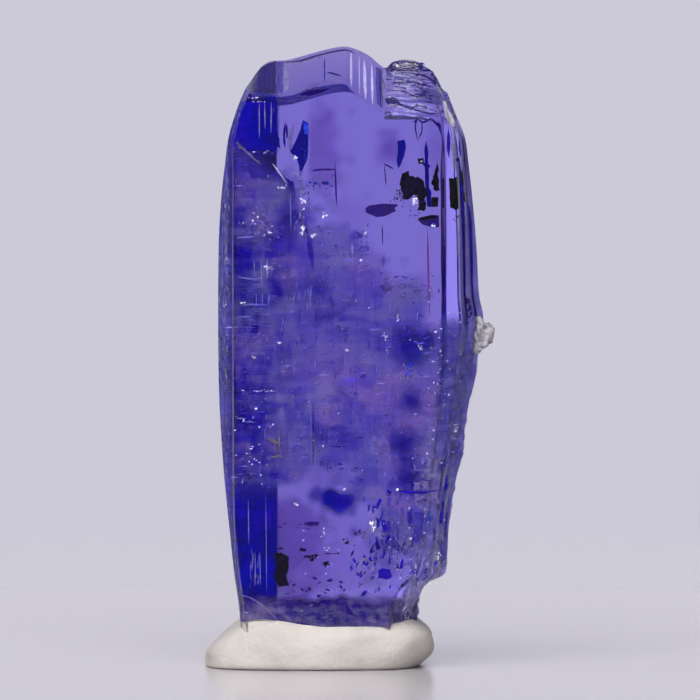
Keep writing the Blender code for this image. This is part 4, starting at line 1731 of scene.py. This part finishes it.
    def build(self) -> None:
        """Makes the marks of the clear window."""
        self.gather("graphite_cluster_and_painted_reflections", COAL, 31, self.coal)
        self.gather("dusky_lenses", DUSK, 32, self.dusk)
        self.gather("deep_blue_patches", INK, 33, self.deep)
        self.gather("royal_blue_flashes", ROYAL, 34, self.royal)
        self.gather("upper_glints", GLINT, 35, self.glint)
        self.gather("upper_pale_cracks", PALE, 36, self.pale)
        self.gather("crack_stains", OLIVE, 37, self.olive)
        self.gather("rust_needle", RUST, 38, self.rust)


@dataclass
class MiddleMarks(SealedGroup):
    """The bright and dark details within the cloudy middle."""

    glint: tuple[Inclusion, ...] = (
        Swarm((-3.2, 18.45), (0.6, 0.45), 16, (0.04, 0.11), SKIN, (0.3, 0.8), 0.0, 40.0),
        Swarm((-2.75, 18.15), (0.15, 0.06), 5, (0.06, 0.13), SKIN),
        Swarm((-2.7, 16.6), (0.2, 0.2), 12, (0.05, 0.13), SKIN),
        Swarm((-3.88, 15.17), (0.2, 0.05), 4, (0.06, 0.14), SKIN),
        Swarm((-2.29, 13.54), (0.03, 0.05), 3, (0.1, 0.16), SKIN),
        Swarm((-3.38, 12.96), (0.08, 0.06), 4, (0.06, 0.12), SKIN),
        Swarm((2.58, 14.58), (0.04, 0.1), 4, (0.08, 0.2), SKIN, (0.3, 0.6), 60.0),
        Swarm((2.08, 13.75), (0.2, 0.2), 7, (0.05, 0.14), SKIN),
        Swarm((3.54, 13.29), (0.1, 0.16), 7, (0.06, 0.16), SKIN, (0.2, 0.4), 90.0, 20.0),
        Swarm((-3.25, 11.56), (0.8, 0.06), 12, (0.05, 0.12), SKIN, (0.3, 0.6), 0.0, 10.0),
        Swarm((-3.25, 10.83), (0.04, 0.04), 3, (0.08, 0.13), SKIN),
        Swarm((-3.79, 10.33), (0.04, 0.04), 3, (0.07, 0.12), SKIN),
        Swarm((5.0, 10.0), (0.1, 0.25), 9, (0.05, 0.14), SKIN),
        Swarm((4.3, 12.0), (0.9, 4.0), 40, (0.05, 0.14), SKIN, (0.3, 0.7), 70.0, 40.0),
        Swarm((-3.4, 9.0), (0.9, 1.6), 26, (0.05, 0.13), SKIN),
    )
    stroke: tuple[Inclusion, ...] = (
        Ribbon(((-3.04, 16.95), (-3.03, 15.9)), 0.036, 0.1),
        Ribbon(((-3.34, 16.95), (-3.33, 16.3)), 0.03, 0.1),
        Ribbon(((-2.8, 17.0), (-2.79, 16.2)), 0.054, 0.1),
        Ribbon(((-4.0, 16.28), (-3.4, 16.2), (-3.0, 16.25)), 0.036, 0.1),
        Ribbon(((-3.85, 15.1), (-3.5, 15.15), (-2.8, 15.12)), 0.03, 0.1),
        Ribbon(((-3.25, 15.6), (-3.24, 15.1)), 0.03, 0.1),
        Ribbon(((-3.0, 15.6), (-2.98, 15.1)), 0.03, 0.1),
        Ribbon(((-2.75, 15.6), (-2.74, 15.1)), 0.03, 0.1),
        Ribbon(((-4.05, 17.9), (-3.3, 17.95)), 0.03, 0.1),
        Ribbon(((-1.83, 19.8), (-1.82, 18.2)), 0.04, 0.15),
        Swarm((-1.2, 15.5), (0.5, 0.5), 10, (0.3, 0.8), (0.1, 0.5), (0.06, 0.1), 90.0, 3.0, 5.0),
        Swarm((-3.2, 14.0), (0.9, 1.0), 16, (0.3, 0.9), (0.1, 0.5), (0.05, 0.1), 0.0, 4.0, 5.0),
        Swarm((-3.2, 18.6), (0.8, 0.5), 14, (0.1, 0.35), (0.1, 0.5), (0.2, 0.6), 0.0, 60.0),
        Swarm((-1.45, 20.0), (0.35, 0.6), 26, (0.1, 0.3), (0.1, 0.6), (0.3, 0.7), 60.0, 40.0),
        Swarm((-1.45, 18.6), (0.25, 0.6), 20, (0.1, 0.35), (0.1, 0.6), (0.3, 0.6), 70.0, 25.0),
    )
    pale: tuple[Inclusion, ...] = (
        Ribbon(((-1.0, 11.1), (-0.99, 8.45)), 0.05, 0.2),
        Swarm((3.05, 12.25), (0.35, 0.45), 30, (0.08, 0.3), (0.1, 0.5), (0.2, 0.6), 60.0, 40.0),
        Swarm((-3.0, 18.4), (0.9, 0.6), 30, (0.08, 0.3), (0.1, 0.8)),
        Swarm((1.0, 17.2), (1.2, 0.9), 26, (0.1, 0.4), (0.2, 1.5), (0.1, 0.4), 0.0, 40.0),
    )
    deep: tuple[Inclusion, ...] = (
        Swarm((-3.7, 16.5), (0.4, 1.2), 40, (0.2, 0.7), (0.4, 2.5), (0.15, 0.5), 0.0, 8.0, 15.0),
        Swarm((3.2, 13.5), (0.8, 0.7), 34, (0.2, 0.7), (0.4, 2.5), (0.15, 0.5), 0.0, 20.0, 15.0),
        Swarm((3.05, 11.2), (0.35, 0.25), 10, (0.2, 0.5), (0.4, 1.5), (0.3, 0.6), 0.0, 20.0, 15.0),
        Swarm((2.85, 9.5), (0.55, 0.5), 16, (0.2, 0.6), (0.4, 1.5), (0.3, 0.6), 0.0, 20.0, 15.0),
        Swarm((2.9, 7.95), (0.5, 0.6), 16, (0.2, 0.6), (0.4, 1.5), (0.3, 0.6), 0.0, 30.0, 15.0),
        Swarm((-1.0, 15.0), (2.2, 2.6), 60, (0.2, 0.8), (0.6, 3.0), (0.08, 0.25), 0.0, 6.0, 15.0),
        Swarm((0.0, 11.0), (3.6, 2.6), 60, (0.2, 0.8), (0.6, 3.0), (0.08, 0.25), 0.0, 6.0, 15.0),
        Swarm((0.0, 13.0), (3.8, 5.0), 50, (0.2, 0.8), (0.6, 3.0), (0.06, 0.2), 90.0, 5.0, 15.0),
    )
    dusk: tuple[Inclusion, ...] = (
        Swarm((3.1, 15.7), (1.2, 0.7), 60, (0.08, 0.4), (0.2, 1.2), (0.1, 0.3), 0.0, 40.0),
        Ribbon(((-0.90, 11.1), (-0.89, 8.45)), 0.04, 0.2),
        Ribbon(((-3.9, 11.62), (-2.5, 11.62)), 0.04, 0.3),
        Ribbon(((-3.9, 16.05), (-3.0, 16.05)), 0.04, 0.3),
        Ribbon(((-0.2, 9.3), (0.3, 9.25)), 0.03, 0.2),
        Swarm((0.0, 8.45), (0.7, 0.15), 10, (0.08, 0.3), (0.1, 0.6), (0.1, 0.3), 0.0, 15.0),
        Swarm((-1.0, 12.0), (3.2, 5.0), 60, (0.15, 0.6), (0.2, 1.5), (0.05, 0.12), 0.0, 4.0),
        Swarm((0.0, 13.0), (3.6, 5.0), 40, (0.15, 0.6), (0.2, 1.5), (0.05, 0.12), 90.0, 4.0),
        Blot(((5.42, 15.38), (5.55, 15.3), (5.56, 15.1), (5.42, 15.1)), 0.15),
        Swarm((5.5, 14.7), (0.2, 0.4), 14, (0.1, 0.3), (0.1, 0.3)),
    )
    olive: tuple[Inclusion, ...] = (
        Ribbon(((-2.83, 9.58), (-2.6, 9.52), (-2.4, 9.42), (-2.17, 9.4)), 0.10, 0.06, ragged=0.5),
        Ribbon(((-2.71, 8.9), (-2.5, 8.83), (-2.3, 8.90), (-2.08, 8.75)), 0.06, 0.04, ragged=0.5),
        Ribbon(((-2.29, 10.12), (-2.3, 9.5), (-2.22, 8.88)), 0.05, 0.05, ragged=0.5),
        Ribbon(((-2.45, 9.5), (-2.47, 8.85)), 0.03, 0.05, ragged=0.5),
        Ribbon(((-0.86, 9.9), (-0.86, 8.6)), 0.03, 0.1),
    )

    def build(self) -> None:
        """Makes the details of the cloudy middle."""
        self.gather("middle_glints", GLINT, 41, self.glint)
        self.gather("middle_pale_streaks", PALE, 42, self.pale)
        self.gather("middle_pale_strokes", STROKE, 46, self.stroke)
        self.gather("middle_deep_patches", SHADE, 43, self.deep)
        self.gather("middle_dusky_hatching", DUSK, 44, self.dusk)
        self.gather("middle_iron_stains", OLIVE, 45, self.olive)


@dataclass
class LowerMarks(SealedGroup):
    """What is sealed in the lower window, the broken blocks at its right and the foot."""

    coal: tuple[Inclusion, ...] = (
        Blot(
            (
                (-2.5, 4.88), (-2.2, 4.85), (-1.92, 4.7), (-1.9, 4.3), (-2.0, 3.9), (-1.9, 3.5),
                (-2.35, 3.46), (-2.52, 3.9), (-2.4, 4.3),
            ),
            0.15, ragged=0.06,
        ),
        Swarm((-2.19, 5.04), (0.12, 0.02), 5, (0.06, 0.16), (0.2, 0.5)),
        Swarm((-1.45, 5.0), (0.2, 0.06), 9, (0.06, 0.2), (0.2, 0.5)),
        Swarm((-0.96, 4.65), (0.3, 0.12), 16, (0.08, 0.25), (0.2, 0.5), (0.3, 0.7), 30.0, 30.0),
        Swarm((-0.38, 4.38), (0.2, 0.1), 12, (0.08, 0.22), (0.2, 0.5), (0.3, 0.7), -30.0, 30.0),
        Swarm((-0.1, 4.83), (0.35, 0.06), 12, (0.06, 0.2), (0.2, 0.5), (0.2, 0.5), 0.0, 20.0),
        Swarm((0.52, 5.33), (0.2, 0.1), 9, (0.06, 0.2), (0.2, 0.5), (0.3, 0.6), 35.0),
        Swarm((0.94, 5.67), (0.12, 0.1), 7, (0.06, 0.2), (0.2, 0.5), (0.3, 0.6), 60.0),
        Swarm((-1.5, 5.95), (0.8, 0.15), 12, (0.05, 0.3), (0.5, 0.8), (0.08, 0.2), 0.0, 6.0),
    )
    dusk: tuple[Inclusion, ...] = (
        Blot(((-1.33, 6.06), (-1.1, 6.15), (-0.62, 6.12), (-0.7, 6.0), (-1.1, 5.96)), 0.5),
        Swarm((0.0, 2.6), (3.2, 0.3), 60, (0.15, 0.7), (0.2, 1.6), (0.1, 0.3), 0.0, 14.0),
        Swarm((1.5, 4.4), (1.1, 1.2), 16, (0.1, 0.4), (0.1, 1.0), (0.2, 0.6), 60.0, 40.0),
        Swarm((3.6, 8.0), (0.6, 0.9), 22, (0.1, 0.5), (0.05, 0.2), (0.06, 0.15), 0.0, 3.0),
        Swarm((3.0, 6.0), (1.0, 1.6), 34, (0.15, 0.6), (0.05, 0.3), (0.06, 0.16), 90.0, 8.0),
        Swarm((-0.6, 3.4), (1.6, 0.4), 36, (0.06, 0.3), (0.3, 1.0), (0.2, 0.6), 0.0, 40.0),
    )
    deep: tuple[Inclusion, ...] = (
        Blot(((1.79, 4.1), (1.95, 4.22), (2.3, 4.15), (2.38, 3.85), (2.1, 3.75), (1.85, 3.82)), 0.2),
        Blot(((1.9, 6.2), (2.1, 6.25), (2.3, 6.1), (2.28, 5.75), (2.0, 5.7)), 0.2),
        Blot(((3.3, 6.55), (3.7, 6.5), (3.62, 5.8), (3.4, 5.2), (3.2, 5.4)), 0.25),
        Ribbon(((2.65, 7.42), (3.3, 7.36), (4.23, 7.4)), 0.07, 0.08),
        Ribbon(((4.5, 9.2), (4.52, 7.2), (4.5, 5.0)), 0.34, 0.12, ragged=0.1),
        Swarm(
            (2.5, 5.9), (1.3, 1.8), 64, (0.12, 0.5), (0.15, 1.0), (0.15, 0.5),
            84.0, 12.0, shape=Shape.PLATE
        ),
        Swarm((3.6, 3.6), (0.6, 0.8), 20, (0.1, 0.4), (0.1, 0.6), (0.2, 0.6), 60.0, 30.0, shape=Shape.PLATE),
        Swarm((0.5, 2.3), (2.4, 0.4), 40, (0.15, 0.6), (0.3, 1.6), (0.15, 0.4), 0.0, 20.0),
        Swarm((1.5, 4.4), (1.1, 1.2), 34, (0.1, 0.4), (0.1, 1.0), (0.2, 0.6), 60.0, 40.0),
        Swarm((3.0, 2.5), (0.5, 0.8), 34, (0.1, 0.4), (0.05, 0.4), (0.15, 0.4), 60.0, 30.0),
    )
    royal: tuple[Inclusion, ...] = (
        Swarm((0.66, 4.25), (0.14, 0.32), 9, (0.08, 0.24), (0.05, 0.2), (0.3, 0.6), 70.0, 25.0),
        Ribbon(((3.84, 6.75), (3.9, 6.4), (3.84, 6.0), (3.7, 5.75)), 0.14, 0.06),
        Swarm((2.6, 5.0), (1.2, 1.6), 12, (0.06, 0.18), (0.1, 0.5), (0.3, 0.6), 80.0, 30.0),
        Swarm((3.12, 12.4), (0.12, 0.3), 9, (0.1, 0.26), (0.02, 0.1), (0.3, 0.6), 70.0, 20.0),
        Swarm((-3.4, 7.7), (0.4, 0.4), 6, (0.05, 0.12), (0.1, 0.4)),
    )
    glint: tuple[Inclusion, ...] = (
        Swarm((1.57, 5.95), (0.12, 0.26), 12, (0.07, 0.18), SKIN, (0.3, 0.6), 80.0, 15.0),
        Swarm((2.58, 7.46), (0.05, 0.05), 4, (0.08, 0.14), SKIN),
        Swarm((4.25, 4.6), (0.16, 0.25), 10, (0.06, 0.15), SKIN),
        Swarm((-1.65, 6.88), (0.16, 0.2), 5, (0.06, 0.14), SKIN),
        Swarm((0.38, 7.46), (0.06, 0.08), 4, (0.06, 0.13), SKIN),
        Swarm((-0.46, 5.71), (0.03, 0.25), 5, (0.06, 0.14), SKIN, (0.2, 0.4), 90.0, 8.0),
        Swarm((3.3, 3.2), (0.2, 0.35), 14, (0.08, 0.24), SKIN, (0.15, 0.4), 64.0, 15.0),
        Swarm((2.95, 2.3), (0.14, 0.25), 6, (0.06, 0.18), SKIN, (0.2, 0.5), 70.0, 20.0),
        Swarm((2.8, 5.2), (1.2, 1.9), 50, (0.03, 0.10), SKIN, (0.3, 0.8), 80.0, 25.0),
        Swarm((-0.6, 4.9), (1.0, 0.9), 12, (0.04, 0.1), SKIN),
    )
    milk: tuple[Inclusion, ...] = (
        Blot(((3.78, 8.8), (4.3, 8.75), (4.32, 7.9), (3.8, 7.83)), 0.12, 0.03, 0.08),
        Blot(((3.25, 7.79), (3.53, 7.76), (3.5, 7.46), (3.27, 7.44)), 0.12, 0.03, 0.06),
        Blot(
            ((3.3, 7.3), (3.75, 7.25), (3.97, 6.95), (3.8, 6.6), (3.45, 6.7), (3.27, 6.9)),
            0.12, 0.03, 0.08
        ),
        Blot(((2.6, 6.0), (3.3, 5.9), (3.2, 5.3), (2.95, 4.95), (2.65, 5.2)), 0.14, 0.03, 0.1),
        Blot(((1.42, 6.3), (1.7, 6.25), (1.73, 5.7), (1.45, 5.64)), 0.1, 0.03, 0.08),
        Ribbon(((0.92, 4.1), (1.0, 4.45), (1.3, 4.6), (1.58, 4.25), (1.5, 3.78)), 0.08, 0.06, ragged=0.6),
        Blot(((3.9, 5.0), (4.3, 5.2), (4.5, 4.7), (4.45, 4.0), (4.05, 3.95), (3.9, 4.4)), 0.1, 0.03, 0.1),
        Blot(((2.9, 3.5), (3.3, 3.6), (3.5, 3.3), (3.3, 2.5), (2.95, 2.3), (2.8, 2.9)), 0.08, 0.03, 0.1),
        Swarm(
            (2.6, 5.6), (1.4, 1.8), 60, (0.12, 0.45), (0.05, 0.7), (0.12, 0.5),
            84.0, 10.0, shape=Shape.PLATE
        ),
        Swarm(
            (3.5, 4.0), (0.7, 1.3), 60, (0.12, 0.45), (0.03, 0.4), (0.12, 0.4),
            72.0, 16.0, shape=Shape.PLATE
        ),
        Swarm((3.8, 8.0), (0.5, 0.9), 30, (0.1, 0.35), (0.05, 0.4), (0.2, 0.7), 88.0, 8.0, shape=Shape.PLATE),
        Ribbon(((-3.83, 3.12), (-3.4, 2.95), (-2.92, 2.62), (-2.29, 2.0)), 0.05, 0.05),
        Swarm((-3.3, 2.3), (0.6, 0.4), 34, (0.08, 0.3), (0.05, 0.5), (0.2, 0.5), 0.0, 40.0),
        Swarm((3.0, 2.6), (0.5, 0.8), 70, (0.1, 0.4), (0.02, 0.3), (0.12, 0.4), 62.0, 30.0),
        Swarm((0.0, 2.3), (3.0, 0.5), 30, (0.08, 0.3), (0.05, 1.0), (0.15, 0.4), 0.0, 25.0),
        Swarm((-3.3, 4.2), (0.3, 0.7), 16, (0.2, 0.7), (0.1, 0.2), (0.06, 0.12), 90.0, 3.0),
    )

    def build(self) -> None:
        """Makes the marks of the lower window and the foot."""
        self.gather("lower_graphite", COAL, 51, self.coal)
        self.gather("lower_dusky_marks", DUSK, 52, self.dusk)
        self.gather("lower_deep_patches", DEEP, 53, self.deep)
        self.gather("lower_royal_flashes", ROYAL, 54, self.royal)
        self.gather("lower_glints", GLINT, 55, self.glint)
        self.gather("lower_pale_blocks", PALE, 56, self.milk)


@dataclass(frozen=True)
class TentBand:
    """A band of the light tent: its angle from the direction away from the viewer, and its light."""

    angle: float
    light: float


@dataclass
class Studio:
    """The pale glossy floor, the light tent round it and the camera."""

    distance: float = 400.0
    elevation: float = 2.0
    view_width: float = 29.17
    centre_x: float = 0.625
    centre_z: float = 13.13
    sensor: float = 36.0
    floor_radius: float = 160.0
    fade_start: float = 40.0
    fade_end: float = 125.0
    backdrop: Colour = (0.604, 0.590, 0.690)
    lamp_way: tuple[float, float, float] = (-0.15, -0.72, 0.68)
    lamp_light: float = 4.6
    top_light: float = 0.05
    bands: tuple[TentBand, ...] = (
        TentBand(0.0, 0.62),
        TentBand(11.0, 0.62),
        TentBand(15.0, 0.90),
        TentBand(35.0, 0.90),
        TentBand(43.0, 0.16),
        TentBand(60.0, 0.16),
        TentBand(76.0, 0.34),
        TentBand(125.0, 0.34),
        TentBand(150.0, 0.26),
        TentBand(168.0, 0.10),
        TentBand(180.0, 0.08),
    )

    def camera(self) -> None:
        """A long lens, nearly level with the crystal."""
        data = bpy.data.cameras.new("camera")
        data.sensor_width = self.sensor
        data.lens = self.sensor * self.distance / self.view_width
        data.clip_start = 0.01
        data.clip_end = 5.0
        camera = bpy.data.objects.new("camera", data)
        target = middle_line() + Vector((self.centre_x, 0.0, self.centre_z)) * MM
        rise = math.radians(self.elevation)
        back = Vector((0.0, -math.cos(rise), math.sin(rise)))
        camera.location = target + back * self.distance * MM
        camera.rotation_euler = (-back).to_track_quat("-Z", "Y").to_euler()
        bpy.context.scene.collection.objects.link(camera)
        bpy.context.scene.camera = camera

    def floor(self) -> None:
        """A glossy pale disc that fades out into the backdrop."""
        mesh = bmesh.new()
        bmesh.ops.create_circle(mesh, cap_ends=True, segments=128, radius=self.floor_radius * MM)
        data = bpy.data.meshes.new("floor")
        mesh.to_mesh(data)
        mesh.free()
        nodes, shader = Finish("floor", (0.53, 0.51, 0.54), 0.16).start()
        length = nodes.add("ShaderNodeVectorMath", operation="LENGTH")
        nodes.link(nodes.place((1.0, 1.0, 0.0)), length.inputs[0])
        fade = nodes.remap(length.outputs["Value"], self.fade_start, self.fade_end, 1.0, 0.0)
        front = nodes.remap(nodes.part("Y"), -52.0, -41.0)
        nodes.link(nodes.math("MULTIPLY", fade, front), shader.inputs["Alpha"])
        data.materials.append(nodes.owner)
        floor = bpy.data.objects.new("floor", data)
        bpy.context.scene.collection.objects.link(floor)

    def band_light(self, nodes: Nodes, angle: Socket) -> Socket:
        """The tent's light by its angle from the direction away from the viewer.

        Args:
            nodes: The world's nodes.
            angle: The angle as a share of half a turn.

        Returns:
            The light.
        """
        bands = nodes.add("ShaderNodeValToRGB")
        points = bands.color_ramp.elements
        while len(points) < len(self.bands):
            points.new(0.5)
        for point, band in zip(points, self.bands):
            point.position = band.angle / 180.0
            point.color = (band.light / 2.0,) * 3 + (1.0,)
        nodes.link(angle, bands.inputs["Fac"])
        split = nodes.add("ShaderNodeSeparateColor")
        nodes.link(bands.outputs["Color"], split.inputs["Color"])
        return nodes.math("MULTIPLY", split.outputs["Red"], 2.0)

    def world(self) -> None:
        """The light tent: violet-grey and pale behind, bright beside that, dim at its sides and front."""
        world = bpy.data.worlds.new("tent")
        world.use_nodes = True
        world.cycles.sampling_method = "NONE"
        bpy.context.scene.world = world
        nodes = Nodes(world)
        background = world.node_tree.nodes["Background"]
        way = nodes.add("ShaderNodeTexCoord").outputs["Generated"]
        split = nodes.add("ShaderNodeSeparateXYZ")
        nodes.link(way, split.inputs["Vector"])
        angle = nodes.math("MULTIPLY", nodes.math("ARCCOSINE", split.outputs["Y"]), 1.0 / math.pi)
        lamp = nodes.add("ShaderNodeVectorMath", operation="DOT_PRODUCT")
        nodes.link(way, lamp.inputs[0])
        lamp.inputs[1].default_value = Vector(self.lamp_way).normalized()
        soft = nodes.remap(lamp.outputs["Value"], 0.76, 0.93, 0.0, self.lamp_light)
        shade = nodes.remap(split.outputs["X"], 0.16, 0.4, 1.0, 0.3)
        top = nodes.remap(split.outputs["Z"], 0.35, 0.9, 0.0, self.top_light)
        band = nodes.math("MULTIPLY", self.band_light(nodes, angle), shade)
        light = nodes.math("ADD", nodes.math("ADD", band, top), soft)
        seen = nodes.add("ShaderNodeLightPath").outputs["Is Camera Ray"]
        pick = nodes.add("ShaderNodeMix", data_type="FLOAT")
        nodes.link(seen, pick.inputs[0])
        nodes.link(light, pick.inputs[2])
        pick.inputs[3].default_value = 0.62
        unseen = nodes.math("ABSOLUTE", nodes.math("SUBTRACT", seen, 1.0))
        plain = nodes.math("MULTIPLY", nodes.remap(angle, 0.2, 0.45), unseen)
        tint = tuple(channel / 0.62 for channel in self.backdrop)
        nodes.link(nodes.mix_colour(plain, tint, (1.0, 0.99, 0.98)), background.inputs["Color"])
        nodes.link(pick.outputs[0], background.inputs["Strength"])

    def build(self) -> None:
        """Sets up the floor, the lights and the camera."""
        self.floor()
        self.world()
        self.camera()
        scene = bpy.context.scene
        scene.view_settings.view_transform = "Standard"
        scene.cycles.max_bounces = 16
        scene.cycles.transmission_bounces = 16
        scene.cycles.diffuse_bounces = 3
        scene.cycles.glossy_bounces = 12
        scene.cycles.transparent_max_bounces = 32
        LOG.info("studio: floor, tent and camera")


def main() -> None:
    """Builds the specimen and the studio, in order."""
    logging.basicConfig(level=logging.INFO, format="%(name)s: %(message)s")
    form = CrystalForm()
    Crystal(form).build()
    MatrixGrain().build()
    PuttyPad(form).build()
    Haze(form, HazeZone()).build()
    Tinges(form).build()
    SideMarks(form).build()
    TopMarks(form).build()
    UpperMarks(form).build()
    MiddleMarks(form).build()
    LowerMarks(form).build()
    Studio().build()


if __name__ == "__main__":
    main()
